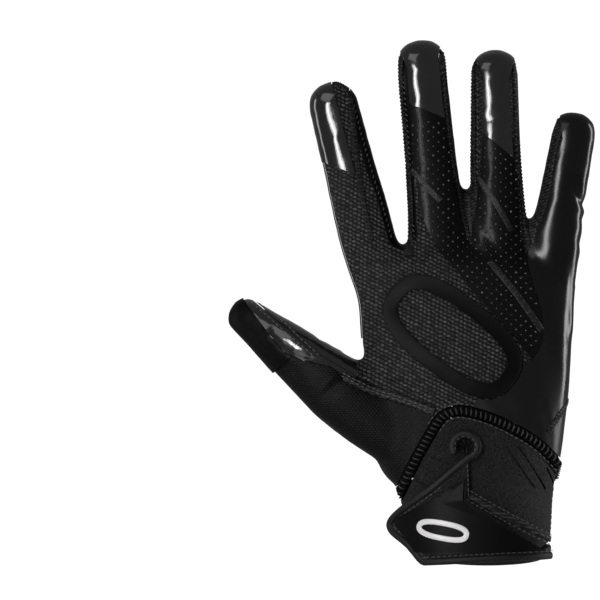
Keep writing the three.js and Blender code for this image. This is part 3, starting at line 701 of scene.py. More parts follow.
def gloss(name, perforated):
    material, tree, shader, place, split = start_finish(name)
    wide = noise(tree, place, 70.0, 2.5)
    fine = noise(tree, place, 900.0, 2.0)
    normal = bump(tree, shader, wide, 0.3 if perforated else 0.7)
    bump(tree, shader, fine, 0.012, normal)
    grey = tone(tree, wide, (0.0075, 0.0075, 0.0085), (0.012, 0.012, 0.0135))
    rough = span(tree, noise(tree, place, 160.0, 3.0), 0.1, 0.2)
    shader.inputs["Coat Weight"].default_value = 0.6
    shader.inputs["Coat Roughness"].default_value = 0.04
    shader.inputs["Specular IOR Level"].default_value = 0.5
    if perforated:
        slope = sums(tree, "ADD", split["Z"], sums(tree, "MULTIPLY", split["X"], 0.07))
        hole_v = sums(tree, "DIVIDE", slope, 8 * MM)
        row = sums(tree, "FLOOR", hole_v)
        odd = sums(tree, "PINGPONG", row, 1.0)
        hole_u = sums(tree, "ADD", sums(tree, "DIVIDE", split["X"], 11.1 * MM), sums(tree, "MULTIPLY", odd, 0.5))
        fu = sums(tree, "MULTIPLY", sums(tree, "SUBTRACT", sums(tree, "FRACT", hole_u), 0.5), 11.1)
        fv = sums(tree, "MULTIPLY", sums(tree, "SUBTRACT", sums(tree, "FRACT", hole_v), 0.5), 8.0)
        reach = sums(tree, "SQRT", sums(tree, "ADD", sums(tree, "MULTIPLY", fu, fu), sums(tree, "MULTIPLY", fv, fv)))
        edge = tree.nodes.new("ShaderNodeMapRange")
        edge.interpolation_type = "SMOOTHSTEP"
        tree.links.new(reach, edge.inputs["Value"])
        edge.inputs["From Min"].default_value = 0.38
        edge.inputs["From Max"].default_value = 0.62
        whole = edge.outputs["Result"]
        # The perforations are painted near-black: painted shade inside the holes.
        painted_hole_shade = tree.nodes.new("ShaderNodeMix")
        painted_hole_shade.data_type = "RGBA"
        tree.links.new(whole, painted_hole_shade.inputs["Factor"])
        painted_hole_shade.inputs["A"].default_value = (0.001, 0.001, 0.001, 1)
        tree.links.new(grey, painted_hole_shade.inputs["B"])
        grey = painted_hole_shade.outputs["Result"]
        bump(tree, shader, whole, 0.35, normal)
        tree.links.new(span(tree, whole, 0, 0.6), shader.inputs["Coat Weight"])
        rough = sums(tree, "MAXIMUM", rough, span(tree, whole, 1.0, 0.0))
    tree.links.new(grey, shader.inputs["Base Color"])
    tree.links.new(rough, shader.inputs["Roughness"])
    return material


layers, cutters = {}, []
skin_normals = point_normals(skin)
skin.hide_render = True
cutters.append(skin)
surface = BVHTree.FromPolygons(
    [vertex.co for vertex in skin.data.vertices], [face.vertices[:] for face in skin.data.polygons])

thumb_start = [thumb_axis[0] + thumb_axis[2] * share * THUMB_LENGTH for share in (-1.2, 0.1)]
thumb_zone = prism([*thumb_start, *CROTCH_LINE, (-FAR, CROTCH_LINE[-1][1]), (-FAR, thumb_start[0][1])])
below_ridge = prism([*THUMB_RIDGE, (THUMB_RIDGE[-1][0], -FAR), (-FAR, -FAR), (-FAR, THUMB_RIDGE[0][1])])
back = back_of(-SEAM_GAP / 2, [below_ridge])
not_palm = back_of(SEAM_GAP / 2, [below_ridge, stroke(THUMB_RIDGE, 2 * SEAM_GAP)])
pairs = [("index", "middle"), ("middle", "ring"), ("ring", "little")]
fourchette_zones = [fourchette_place(*pair, SEAM_GAP) for pair in pairs]
clear_of_hem = above_hem(HEM_HEIGHT + SEAM_GAP)


def beside_tail(side, gap, high=FAR):
    """What lies beyond one of the two edges of the palm's tail at the wrist."""
    top, foot = TAIL_EDGES[side] + [side * gap, 0]
    return prism([top, foot, (foot[0], -FAR), (side * FAR, -FAR), (side * FAR, top[1])])


wall_above_hem = as_cutter(carve(copy_of(layer(-WALL, 0), "wall_above_hem"), keep=[clear_of_hem]))
palm_wall = as_cutter(carve(copy_of(wall_above_hem, "palm_wall"), remove=[
    not_palm, *fourchette_zones, stroke(THUMB_ARC, SEAM_GAP), stroke(WEB_LINE, SEAM_GAP),
    beside_tail(-1, 0), beside_tail(1, 0)]))
thumb_panel = prism([*THUMB_ARC, (-FAR, THUMB_ARC[-1][1]), WEB_LINE[3], WEB_LINE[2], WEB_LINE[1]])
web_panel = prism([*WEB_LINE, (-FAR, 1.6 * ROOT_HEIGHT + FAR), WEB_LINE[0]])
palm_skin = panel("palm_leather", palm_wall, remove=[thumb_panel, web_panel])
thumb_palm = panel("thumb_leather", palm_wall, keep=[thumb_panel])
web_gusset = panel("web_leather", palm_wall, keep=[web_panel])
perforated = gloss("perforated_gloss", True)
film_gloss = gloss("film_gloss", False)
wear([palm_skin], perforated, node="palm_skin")
wear([thumb_palm], perforated, node="thumb_palm")
wear([web_gusset], film_gloss, node="web_gusset")

# ---- Knitted back and fourchettes ---------------------------------------------------------------------
# The back of the hand is a spacer mesh with raised pills, stretched over the knuckles. The fourchettes
# are strips of finer knit sewn between the fingers.
WELT_WIDTH, WELT_HEIGHT = 4.4, 1.6
BAND_WIDTH, BAND_HEIGHT = 4.0, 0.7
welt_zone = stroke(WELT_LINE, WELT_WIDTH + 2 * SEAM_GAP)
band_zone = stroke(BAND_LINE, BAND_WIDTH + 2 * SEAM_GAP)
below_welt = prism([*WELT_LINE, (FAR, WELT_LINE[-1][1]), (FAR, -FAR), (-FAR, -FAR), (-FAR, WELT_LINE[0][1])])
welt_leg = WELT_LINE[:20]
under_band = prism([(-FAR, THUMB_RIDGE[0][1]), THUMB_RIDGE[0], *THUMB_RIDGE[3:6], *BAND_LINE,
                    *welt_leg[::-1], (-FAR, WELT_LINE[0][1])])
back_face = as_cutter(carve(copy_of(back, "back_face"), remove=[
    *fourchette_zones, welt_zone, below_welt, band_zone, under_band]))
back_knit = panel("back_mesh", wall_above_hem, keep=[back_face])
fourchettes = [panel(f"fourchette_cloth_{first}_{second}", wall_above_hem, keep=[fourchette_place(first, second, 0)])
               for first, second in pairs]
material, tree, shader, place, split = start_finish("pill_mesh")
slope = sums(tree, "MULTIPLY_ADD", split["X"], 0.48, split["Z"])
aside = sums(tree, "MULTIPLY_ADD", split["Z"], -0.48, split["X"])
waver = sums(tree, "MULTIPLY", noise(tree, place, 420.0, 1.0), 1.3 * MM)
pill = use_group(tree, pills, Across=sums(tree, "ADD", aside, waver), Up=sums(tree, "ADD", slope, waver),
                 Pitch_Across=2.1 * MM, Pitch_Up=1.75 * MM, Shift=0.36, Long=1.0, Wide=0.8).outputs
yarn = noise(tree, place, 2600.0, 2.0)
mixed = sums(tree, "ADD", sums(tree, "MULTIPLY", pill["Height"], span(tree, pill["Chance"], 0.6, 1.1)), sums(tree, "MULTIPLY", yarn, 0.35))
bump(tree, shader, mixed, 1.3)
# The colour follows each pill's height, times a random share for each pill. The tops are painted lighter as a painted
# highlight, and the gaps between the pills darker as painted shade.
painted_pill_light = sums(tree, "MULTIPLY", pill["Height"], span(tree, pill["Chance"], 0.25, 1.0))
tree.links.new(tone(tree, painted_pill_light, (0.007, 0.007, 0.0075), (0.24, 0.24, 0.243)), shader.inputs["Base Color"])
tree.links.new(span(tree, pill["Chance"], 0.26, 0.42), shader.inputs["Roughness"])
shader.inputs["Specular IOR Level"].default_value = 0.15
wear([back_knit], material, node="back_knit")

material, tree, shader, place, split = start_finish("fine_knit")
height = use_group(tree, pills, Across=split["Y"], Up=sums(tree, "ADD", split["Z"], sums(tree, "MULTIPLY", split["Y"], 0.5)),
                   Pitch_Across=2.4 * MM, Pitch_Up=1.5 * MM, Shift=0.5, Long=0.9, Wide=0.83).outputs["Height"]
yarn = noise(tree, place, 2600.0, 2.0)
bump(tree, shader, sums(tree, "ADD", height, sums(tree, "MULTIPLY", yarn, 0.3)), 0.5)
# The colour follows the knit's height: the raised tops are painted lighter as a painted highlight, and the gaps darker
# as painted shade.
tree.links.new(tone(tree, height, (0.003, 0.003, 0.0033), (0.055, 0.055, 0.057)), shader.inputs["Base Color"])
tree.links.new(span(tree, yarn, 0.4, 0.6), shader.inputs["Roughness"])
shader.inputs["Specular IOR Level"].default_value = 0.2
fine_knit = material

# ---- Thumb's back and its cap -----------------------------------------------------------------------
FILM_THICKNESS = 0.7
FILM_TOP = SEAM_GAP + FILM_THICKNESS
thumb_back_place = as_cutter(carve(copy_of(back, "thumb_back_place"), keep=[under_band], remove=[welt_zone, band_zone]))
thumb_end = prism([thumb_axis[0] + thumb_axis[1] * along * THUMB_LENGTH + thumb_axis[2] * side * THUMB_WIDTH
                   for along, side in ((0.4, 1), (2, 1), (2, -1), (0.5, -1))])
thumb_back = panel("thumb_back_cloth", wall_above_hem, keep=[thumb_back_place])
film_shell = as_cutter(carve(copy_of(layer(SEAM_GAP, FILM_TOP), "film_shell"), keep=[back]))
thumb_cap = panel("thumb_cap_film", film_shell, keep=[thumb_end, thumb_back_place])

material, tree, shader, place, split = start_finish("thumb_knit")
height = use_group(tree, pills, Across=split["X"], Up=split["Z"], Pitch_Across=1.6 * MM, Pitch_Up=1.0 * MM, Shift=0.5, Long=0.9, Wide=0.85).outputs["Height"]
yarn = noise(tree, place, 2200.0, 2.0)
bump(tree, shader, sums(tree, "ADD", height, sums(tree, "MULTIPLY", yarn, 0.4)), 0.22)
# The colour follows the knit's height: the raised tops are painted lighter as a painted highlight, and the gaps darker
# as painted shade.
tree.links.new(tone(tree, height, (0.001, 0.001, 0.0012), (0.006, 0.006, 0.0065)), shader.inputs["Base Color"])
tree.links.new(span(tree, yarn, 0.42, 0.56), shader.inputs["Roughness"])
shader.inputs["Specular IOR Level"].default_value = 0.12
wear([thumb_back], material, node="thumb_back")

material, tree, shader, place, split = start_finish("moulded_rubber")
fine = noise(tree, place, 1500.0, 2.0)
bump(tree, shader, fine, 0.02)
tree.links.new(tone(tree, fine, (0.002, 0.002, 0.0022), (0.005, 0.005, 0.0053)), shader.inputs["Base Color"])
tree.links.new(span(tree, fine, 0.4, 0.5), shader.inputs["Roughness"])
shader.inputs["Specular IOR Level"].default_value = 0.07
moulded_rubber = material
wear([thumb_cap], moulded_rubber, node="thumb_cap")

# ---- Finger caps --------------------------------------------------------------------------------------
# near, far, left, right
CAPS = {
    "index": (0.61, 0.42, 0.72, 0.06),
    "middle": (0.71, 0.6, 0.36, 0.38),
    "ring": (0.6, 0.42, 0.35, 0.38),
}


def finger_point(name, distance, aside=0):
    """A point of the back view on a finger, from shares of its length and its width."""
    across, up, lean, length, width, _ = FINGERS[name]
    root, along, across_way = limb_axis(across, up, lean)
    return root + along * distance * length + across_way * aside * width


def cap_place(name, grow):
    near, far, left, right = CAPS[name]
    width, length = FINGERS[name][4], FINGERS[name][3]
    g, h = grow / width, grow / length
    return prism([finger_point(name, near - h, -left - g), finger_point(name, far - h, right + g),
                  finger_point(name, 2, right + g), finger_point(name, 2, -left - g)])


caps = [panel(f"{name}_cap_film", film_shell, keep=[cap_place(name, 0), back_face]) for name in CAPS]
for name, cap in zip(CAPS, caps):
    wear([cap], film_gloss, node=f"cap_{name}")

# ---- Films --------------------------------------------------------------------------------------------
FRAME_LENGTH, FRAME_BREADTH, FRAME_BAND, FRAME_TILT, FRAME_POWER = 66, 35, 6.6, -38, 2.7
FRAME_CENTRE = on_hand([(-0.115, 0.715)])[0]


def oval(centre, length, breadth, tilt, power, count=72):
    turn = np.linspace(0, 2 * math.pi, count, endpoint=False)
    x = np.sign(np.cos(turn)) * np.abs(np.cos(turn)) ** (2 / power) * length / 2
    y = np.sign(np.sin(turn)) * np.abs(np.sin(turn)) ** (2 / power) * breadth / 2
    c, s = math.cos(math.radians(tilt)), math.sin(math.radians(tilt))
    return np.stack([centre[0] + x * c - y * s, centre[1] + x * s + y * c], axis=1)


def frame_oval(grow):
    return oval(FRAME_CENTRE, FRAME_LENGTH + 2 * grow, FRAME_BREADTH + 2 * grow, FRAME_TILT, FRAME_POWER)


SHARED_BORDER = rows_between(on_hand([(0.21, 0.93), (0.232, 0.87), (0.255, 0.82), (0.27, 0.745), (0.262, 0.69), (0.225, 0.645)]), 3)
DOTTED_BORDER = rows_between(on_hand([(-0.262, 1.2), (-0.252, 1.12), (-0.185, 1.0), (-0.095, 0.92), (0.0, 0.83), (0.11, 0.745), (0.2, 0.665)]), 3)
PLAIN_BORDER = on_hand([(0.18, 0.625), (0.06, 0.56), (-0.02, 0.51), (-0.04, 0.48)])
frame_hole = prism(frame_oval(SEAM_GAP))
dotted_top = ROOT_HEIGHT + 0.75 * MIDDLE_LENGTH
left, right = finger_point("middle", 0.6, -0.6), finger_point("ring", 0.36, 0.36)
dotted_outline = [left, *DOTTED_BORDER, *SHARED_BORDER[::-1], right, (right[0], dotted_top), (left[0], dotted_top)]
film_dotted = panel("dotted_film", film_shell, keep=[prism(dotted_outline), back_face],
                    remove=[cap_place("middle", SEAM_GAP), cap_place("ring", SEAM_GAP), frame_hole])
inner = [finger_point("little", 2, -0.44), finger_point("little", 0, -0.44)]
film_plain = panel("plain_film", film_shell, keep=[prism([
    *inner, *(SHARED_BORDER + [SEAM_GAP, 0]), *PLAIN_BORDER, (PLAIN_BORDER[-1][0], 0), (FAR, 0), (FAR, inner[0][1])]),
    back_face], remove=[frame_hole])

material, tree, shader, place, split = start_finish("satin_film")
wide = noise(tree, place, 60.0, 2.0)
fine = noise(tree, place, 1800.0, 2.0)
weave = use_group(tree, pills, Across=split["X"], Up=split["Z"], Pitch_Across=0.95 * MM, Pitch_Up=0.8 * MM, Shift=0.5,
                  Long=0.85, Wide=0.85).outputs["Height"]
normal = bump(tree, shader, wide, 0.25)
bump(tree, shader, sums(tree, "MULTIPLY_ADD", fine, 0.5, weave), 0.09, normal)
# The colour follows the weave under the film: its raised cells are painted lighter as a painted highlight, and the gaps
# darker as painted shade.
tree.links.new(tone(tree, weave, (0.0005, 0.0005, 0.0007), (0.005, 0.005, 0.0053)), shader.inputs["Base Color"])
tree.links.new(span(tree, fine, 0.4, 0.5), shader.inputs["Roughness"])
shader.inputs["Specular IOR Level"].default_value = 0.08
shader.inputs["Coat Weight"].default_value = 0.08
shader.inputs["Coat Roughness"].default_value = 0.14
satin_film = material
wear([film_dotted], satin_film, node="film_dotted")
for (first, second), fourchette, finish in zip(pairs, fourchettes, (satin_film, fine_knit, fine_knit)):
    wear([fourchette], finish, node=f"fourchette_{first}_{second}")

material, tree, shader, place, split = start_finish("side_film")
wide = noise(tree, place, 60.0, 2.0)
fine = noise(tree, place, 1400.0, 2.0)
normal = bump(tree, shader, wide, 0.35)
bump(tree, shader, fine, 0.015, normal)
lean = sums(tree, "ADD", split["X"], sums(tree, "MULTIPLY", split["Z"], 0.22))
edge = tree.nodes.new("ShaderNodeMapRange")
edge.interpolation_type = "SMOOTHSTEP"
tree.links.new(lean, edge.inputs["Value"])
edge.inputs["From Min"].default_value = 0.046
edge.inputs["From Max"].default_value = 0.054
tree.links.new(span(tree, edge.outputs["Result"], 0.36, 0.2), shader.inputs["Roughness"])
shader.inputs["Specular IOR Level"].default_value = 0.3
tree.links.new(tone(tree, wide, (0.003, 0.003, 0.0035), (0.006, 0.006, 0.0065)), shader.inputs["Base Color"])
wear([film_plain], material, node="film_plain")

# ---- Frame, strips and dots on the films ------------------------------------------------------------
# A moulded oval band is bonded over the knuckles, strips of slanted knit cross the dotted film, and the
# film's grip dots are raised drops of clear rubber.
FRAME_HEIGHT = 0.8
DOT_RADIUS, DOT_HEIGHT, DOT_PITCH, DOT_ROW = 0.55, 0.42, 4.1, 4.0


def on_surface(page, side="back", lift=0.0):
    """Points on the form at places of the back view in mm, lifted off it, and the form's normals there."""
    if side == "strap":
        return on_strap(page, lift)
    sign = -1 if side == "back" else 1
    places, normals = [], []
    for x, z in np.asarray(page, float)[:, :2] * MM:
        start = Vector((x, sign * 0.2, z))
        place, normal, _, _ = surface.ray_cast(start, Vector((0, -sign, 0)))
        if place is None:
            place, normal, _, _ = surface.find_nearest(Vector((x, curl_at(z / MM) * MM, z)))
        places.append(place)
        normals.append(normal)
    places, normals = np.array(places), np.array(normals)
    return places + normals * np.reshape(lift, (-1, 1)) * MM, normals


STRAP_LEAVES_LEFT, STRAP_LEAVES_RIGHT, STRAP_BEND = -19, 25, 0.035


def on_strap(page, lift=0.0):
    """The same for the strap, which lies on the wrist but bends less than it at both of its ends."""
    page = np.asarray(page, float)[:, :2]
    held = page.copy()
    held[:, 0] = np.clip(page[:, 0], STRAP_LEAVES_LEFT, STRAP_LEAVES_RIGHT)
    places, normals = on_surface(held)
    for dx, dz in ((2.5, 0), (-2.5, 0), (0, 2.5), (0, -2.5), (2.5, 2.5), (-2.5, -2.5)):
        normals = normals + on_surface(held + [dx, dz])[1]
    normals = unit(normals)
    beyond = page[:, 0] - held[:, 0]
    slope = -normals[:, 0] / normals[:, 1]
    places = places + np.stack([beyond, slope * beyond + STRAP_BEND / 2 * beyond**2, 0 * beyond], axis=1) * MM
    turned = np.stack([slope + STRAP_BEND * beyond, -np.ones(len(page)), -normals[:, 2] / normals[:, 1]], axis=1)
    normals = unit(turned)
    return places + normals * np.reshape(lift, (-1, 1)) * MM, normals


def eased(rows, closed, times=3):
    """A run of points or directions with its small jumps evened out."""
    for _ in range(times):
        before, after = np.roll(rows, 1, axis=0), np.roll(rows, -1, axis=0)
        if not closed:
            before[0], after[-1] = rows[0], rows[-1]
        rows = (before + 2 * rows + after) / 4
    return rows


def unit(rows):
    return rows / np.maximum(np.linalg.norm(rows, axis=-1, keepdims=True), 1e-12)


def roll(name, places, normals, width, height, closed=False, power=2.0, sink=0.5, relief=None):
    """A sewn roll or band along a run of points: a grid is wrapped round the run and closed.

    relief(along, across) in mm gives a share of the height, for ribs and grooves."""
    sides = 16 if relief is None else 24
    stations = len(places)
    bpy.ops.object.select_all(action="DESELECT")
    bpy.ops.mesh.primitive_grid_add(x_subdivisions=sides, y_subdivisions=stations - 1)
    piece = bpy.context.active_object
    piece.name = name
    raw = coordinates(piece)
    around = (raw[:, 0] - raw[:, 0].min()) / np.ptp(raw[:, 0]) * 2 * math.pi
    station = np.rint((raw[:, 1] - raw[:, 1].min()) / np.ptp(raw[:, 1]) * (stations - 1)).astype(int)
    if closed:
        ahead, behind = np.roll(places, -1, axis=0), np.roll(places, 1, axis=0)
    else:
        ahead = np.vstack([places[1:], 2 * places[-1:] - places[-2:-1]])
        behind = np.vstack([2 * places[:1] - places[1:2], places[:-1]])
    forward = unit(ahead - behind)
    normals = unit(eased(normals, closed))
    aside = unit(np.cross(forward, normals))
    cos, sin = np.cos(around), np.sin(around)
    across = np.sign(cos) * np.abs(cos) ** (2 / power) * width / 2
    up = np.sign(sin) * np.abs(sin) ** (2 / power)
    along = np.concatenate([[0], np.cumsum(np.linalg.norm(np.diff(places, axis=0), axis=1))]) / MM
    share = np.ones(len(raw)) if relief is None else relief(along[station], across)
    rise = np.where(up > 0, up * height * share, up * sink)
    put_coordinates(piece, places[station] + (aside[station] * across[:, None] + normals[station] * rise[:, None]) * MM)
    bpy.ops.object.mode_set(mode="EDIT")
    bpy.ops.mesh.select_all(action="SELECT")
    bpy.ops.mesh.remove_doubles(threshold=1e-7)
    if closed:
        bpy.ops.mesh.select_all(action="DESELECT")
        bpy.ops.mesh.select_non_manifold(use_wire=False, use_boundary=True, use_multi_face=False,
                                         use_non_contiguous=False, use_verts=False)
        bpy.ops.mesh.bridge_edge_loops()
    else:
        bpy.ops.mesh.fill_holes(sides=0)
    bpy.ops.mesh.select_all(action="SELECT")
    bpy.ops.mesh.normals_make_consistent(inside=False)
    bpy.ops.object.mode_set(mode="OBJECT")
    return smooth_faces(piece, 60)


def sewn_roll(name, line, width, height, lift=0.0, side="back", pitch=0.5, closed=False, **shape):
    """A roll that follows a line of the back view over the form."""
    stations = evenly(np.asarray(line, float), pitch)
    if closed:
        stations = stations[:-1]
    places, normals = on_surface(stations, side, lift)
    return roll(name, eased(places, closed), normals, width, height, closed, **shape)


def copies(name, pattern, places, forward, normals, scale=1.0):
    """One mesh made of copies of a small pattern mesh, each laid along forward with its top to normals."""
    seed = coordinates(pattern)
    corners = [list(face.vertices) for face in pattern.data.polygons]
    forward = unit(np.asarray(forward))
    normals = unit(np.asarray(normals))
    aside = unit(np.cross(forward, normals))
    normals = np.cross(aside, forward)
    scale = np.broadcast_to(scale, len(places))
    points, faces = [], []
    for k, place in enumerate(places):
        turned = seed[:, :1] * forward[k] + seed[:, 1:2] * aside[k] + seed[:, 2:] * normals[k]
        points.append(place + turned * scale[k])
        faces += [[corner + k * len(seed) for corner in face] for face in corners]
    mesh = bpy.data.meshes.new(name)
    mesh.from_pydata(np.vstack(points).tolist(), [], faces)
    piece = bpy.data.objects.new(name, mesh)
    bpy.context.scene.collection.objects.link(piece)
    take_up(name)
    bpy.ops.object.mode_set(mode="EDIT")
    bpy.ops.mesh.select_all(action="SELECT")
    bpy.ops.mesh.normals_make_consistent(inside=False)
    bpy.ops.object.mode_set(mode="OBJECT")
    return smooth_faces(piece, 60)


def thread_pattern(length, radius, bow):
    """One stitch: a six-sided rod, bowed up, with narrowed ends that dive into the cloth."""
    bpy.ops.object.select_all(action="DESELECT")
    bpy.ops.mesh.primitive_grid_add(x_subdivisions=4, y_subdivisions=6)
    piece = bpy.context.active_object
    raw = coordinates(piece)
    along = raw[:, 0] / raw[:, 0].max()
    around = (raw[:, 1] / raw[:, 1].max() + 1) * math.pi
    thick = radius * (1 - 0.45 * along**4)
    rise = radius * bow * (1 - 2 * along**2) / 2
    put_coordinates(piece, np.stack([along * length / 2, thick * np.cos(around), rise + thick * np.sin(around)], axis=1) * MM)
    bpy.ops.object.mode_set(mode="EDIT")
    bpy.ops.mesh.select_all(action="SELECT")
    bpy.ops.mesh.remove_doubles(threshold=1e-7)
    bpy.ops.mesh.fill_holes(sides=0)
    bpy.ops.object.mode_set(mode="OBJECT")
    return as_cutter(piece)


def stitches(name, rows, length=1.7, pitch=2.4, radius=0.2, bow=1.1):
    """Rows of stitches; each row is (line, side, lift, slant), the slant in degrees across the line."""
    pattern = thread_pattern(length, radius, bow)
    places, forward, tops = [], [], []
    for line, side, lift, slant in rows:
        stations = evenly(np.asarray(line, float), pitch)
        spots, normals = on_surface(stations, side, lift)
        run = unit(np.gradient(spots, axis=0))
        across = np.cross(run, normals)
        turn = math.radians(slant)
        places.append(spots)
        forward.append(run * math.cos(turn) + across * math.sin(turn))
        tops.append(normals)
    return copies(name, pattern, np.vstack(places), np.vstack(forward), np.vstack(tops))


def inside(page, outline):
    """Which points of the back view lie inside an outline."""
    outline = np.asarray(outline, float)
    x, z = page[:, 0], page[:, 1]
    odd = np.zeros(len(page), bool)
    for (x1, z1), (x2, z2) in zip(outline, np.roll(outline, -1, axis=0)):
        crosses = (z1 > z) != (z2 > z)
        odd ^= crosses & (x < (x2 - x1) * (z - z1) / np.where(z2 == z1, 1, z2 - z1) + x1)
    return odd


def ribs(pitch, slant, deep):
    """Slanted ribs across a roll."""
    def relief(along, across):
        return 1 - deep * (0.5 - 0.5 * np.cos(2 * math.pi * (along + slant * across) / pitch))
    return relief


def frame_relief(along, across):
    """The moulded band is flat, with a fine groove near each edge."""
    share = np.abs(across) / (FRAME_BAND / 2)
    return 1 - 0.4 * np.exp(-(((share - 0.78) / 0.07) ** 2))


frame_line = frame_oval(-FRAME_BAND / 2)
knuckle_frame = sewn_roll("oval_frame", [*frame_line, frame_line[0]], FRAME_BAND, FRAME_HEIGHT,
                          lift=SEAM_GAP, closed=True, power=9, sink=0.2, relief=frame_relief)

material, tree, shader, place, split = start_finish("matt_rubber")
fine = noise(tree, place, 1500.0, 2.0)
bump(tree, shader, fine, 0.03)
tree.links.new(tone(tree, fine, (0.002, 0.002, 0.0022), (0.005, 0.005, 0.0053)), shader.inputs["Base Color"])
tree.links.new(span(tree, fine, 0.44, 0.54), shader.inputs["Roughness"])
shader.inputs["Specular IOR Level"].default_value = 0.07
wear([knuckle_frame], material, node="knuckle_frame")

web_seam_tape = sewn_roll("web_seam_tape", rows_between([(-44, 78.3), (-57, 86.2), (-69.6, 93.8), (-84, 106.3), (-93, 114.1)], 8),
                          7.0, 0.3, lift=-WALL - 0.25, power=3, sink=0.3)
palm_seam_tape = sewn_roll("palm_seam_tape", rows_between([(-44, 78.3), (-57, 86.2), (-69.6, 93.8), (-80, 102.8)], 8),
                           6.0, 0.3, lift=-WALL - 0.25, side="palm", power=3, sink=0.3)
band_seam_tape = sewn_roll("band_seam_tape", BAND_LINE, 9.0, 0.3, lift=-WALL - 0.25, power=3, sink=0.3)

STRIPS = [
    (2.6, [(-28.5, 168.5), (-22.5, 161.5), (-16.3, 154.7)]),
    (2.6, [(0.0, 165.0), (7.4, 153.8), (13.7, 141.9)]),
    (2.8, [(4.2, 129.0), (15.6, 115.2), (26.4, 99.6)]),
]
EDGE_STRIPS = [
    (4.0, [(-24.3, 223.2), (-28.5, 222.0), (-31.8, 218.4), (-33.0, 213), (-32.4, 198.4), (-31.2, 185.6), (-29.9, 168.4), (-28.9, 151.3), (-29.1, 138), (-30, 131)]),
    (4.3, [(7.5, 220.2), (3.2, 219.2), (-0.2, 216.0), (-1.7, 211.3), (-1.9, 190), (-2.0, 168), (-1.2, 150), (0.2, 137), (0.9, 129)]),
    (5.0, [(36.2, 191), (32.1, 177), (29.3, 159.9), (27.2, 142.7), (25.7, 129), (25.3, 120)]),
    (2.3, [(-23.9, 223.2), (-19.8, 222.2), (-16.6, 219.7), (-14.9, 216.4), (-13.6, 198.4), (-12.0, 181.3), (-9.4, 164.2), (-6.8, 149.1), (-3.6, 137), (-1.9, 131.1)]),
    (2.3, [(7.9, 220.2), (11.8, 219.0), (14.4, 216.2), (15.6, 211.3), (16.4, 189.9), (17.4, 172.7), (18.8, 155.6), (20.8, 140.6), (23.0, 127)]),
    (2.4, [(-62, 205.9), (-59.2, 205.0), (-56.8, 202.9), (-55.2, 199.6), (-53.6, 188), (-51.4, 168), (-48.5, 151), (-45.6, 138)]),
]


def knit_beads(width):
    """Two columns of slanted beads side by side, as on the strips along the fingers."""
    def relief(along, across):
        turn = 2 * math.pi * (along + 0.45 * np.abs(across)) / 1.55
        column = np.abs(np.cos(math.pi * across / width))
        return (0.35 + 0.65 * (0.5 + 0.5 * np.cos(turn))) * (0.65 + 0.35 * np.minimum(1, 3 * np.abs(across) / width)) * (0.5 + 0.5 * column ** 0.5)
    return relief


edge_strips = [sewn_roll(f"finger_strip_{k + 1}", rows_between(line, 8), width, 1.0, lift=0.25, power=2.6, sink=0.6, pitch=0.35,
                         relief=knit_beads(width)) for k, (width, line) in enumerate(EDGE_STRIPS)]

strips = [sewn_roll(f"knit_strip_{k + 1}", rows_between(line, 8), width, 0.35, lift=FILM_TOP, power=3, sink=0.25,
                    relief=ribs(1.9, 0.7, 0.6)) for k, (width, line) in enumerate(STRIPS)]
wear([*edge_strips, web_seam_tape, palm_seam_tape, band_seam_tape], fine_knit)

material, tree, shader, place, split = start_finish("glint_knit")
fine = noise(tree, place, 1100.0, 3.0, 0.8)
glint = tree.nodes.new("ShaderNodeMapRange")
tree.links.new(fine, glint.inputs["Value"])
glint.inputs["From Min"].default_value = 0.54
glint.inputs["From Max"].default_value = 0.68
bump(tree, shader, fine, 0.3)
tree.links.new(tone(tree, glint.outputs["Result"], (0.001, 0.001, 0.0012), (0.1, 0.1, 0.102)), shader.inputs["Base Color"])
tree.links.new(span(tree, fine, 0.3, 0.5), shader.inputs["Roughness"])
shader.inputs["Specular IOR Level"].default_value = 0.3
wear(strips, material)

bpy.ops.object.select_all(action="DESELECT")
bpy.ops.mesh.primitive_uv_sphere_add(segments=8, ring_count=6, radius=1)
dot = bpy.context.active_object
put_coordinates(dot, coordinates(dot) * [DOT_RADIUS * MM, DOT_RADIUS * MM, DOT_HEIGHT * MM])
as_cutter(dot)
grid = []
for row in range(-6, 46):
    for column in range(-10, 12):
        grid.append((column * DOT_PITCH + (row % 2) * DOT_PITCH / 2 - 3, 96 + row * DOT_ROW / 2))
grid = np.array(grid)
grid[:, 1] -= 0.12 * grid[:, 0]
free = inside(grid, dotted_outline) & ~inside(grid, frame_oval(1.2))
free &= nearest_on_line(grid, np.array(dotted_outline + dotted_outline[:1]))[0] > 1.3
for width, line in STRIPS:
    free &= nearest_on_line(grid, np.array(line))[0] > width / 2 + 0.7
for name in ("middle", "ring"):
    near, far = CAPS[name][:2]
    lower = np.array([finger_point(name, near, -0.6), finger_point(name, far, 0.6)])
    rise = lower[0][1] + (grid[:, 0] - lower[0][0]) * (lower[1][1] - lower[0][1]) / (lower[1][0] - lower[0][0])
    free &= ~((np.abs(grid[:, 0] - lower[:, 0].mean()) < 14) & (grid[:, 1] > rise - 1.2))
    axis_line = np.array([finger_point(name, -0.3), finger_point(name, 1)])
    on_finger = (grid[:, 1] > 142) & (np.abs(grid[:, 0] - axis_line[:, 0].mean()) < 14)
    free &= ~(on_finger & (nearest_on_line(grid, axis_line)[0] > 7.6))
spots, tops = on_surface(grid[free], "back", FILM_TOP)
dots = copies("grip_dots", dot, spots, np.tile([1.0, 0, 0], (len(spots), 1)), tops)

material, tree, shader, place, split = start_finish("clear_rubber")
fine = noise(tree, place, 800.0, 2.0)
# A few random dots are painted bright: painted sparkle on the clear rubber, while the rest stay near-black.
painted_sparkle = sums(tree, "MULTIPLY_ADD", noise(tree, place, 240.0, 0.0), 3.4, -1.45)
tree.links.new(tone(tree, painted_sparkle, (0.006, 0.006, 0.0065), (0.11, 0.11, 0.112)), shader.inputs["Base Color"])
tree.links.new(span(tree, fine, 0.08, 0.18), shader.inputs["Roughness"])
wear([dots], material)
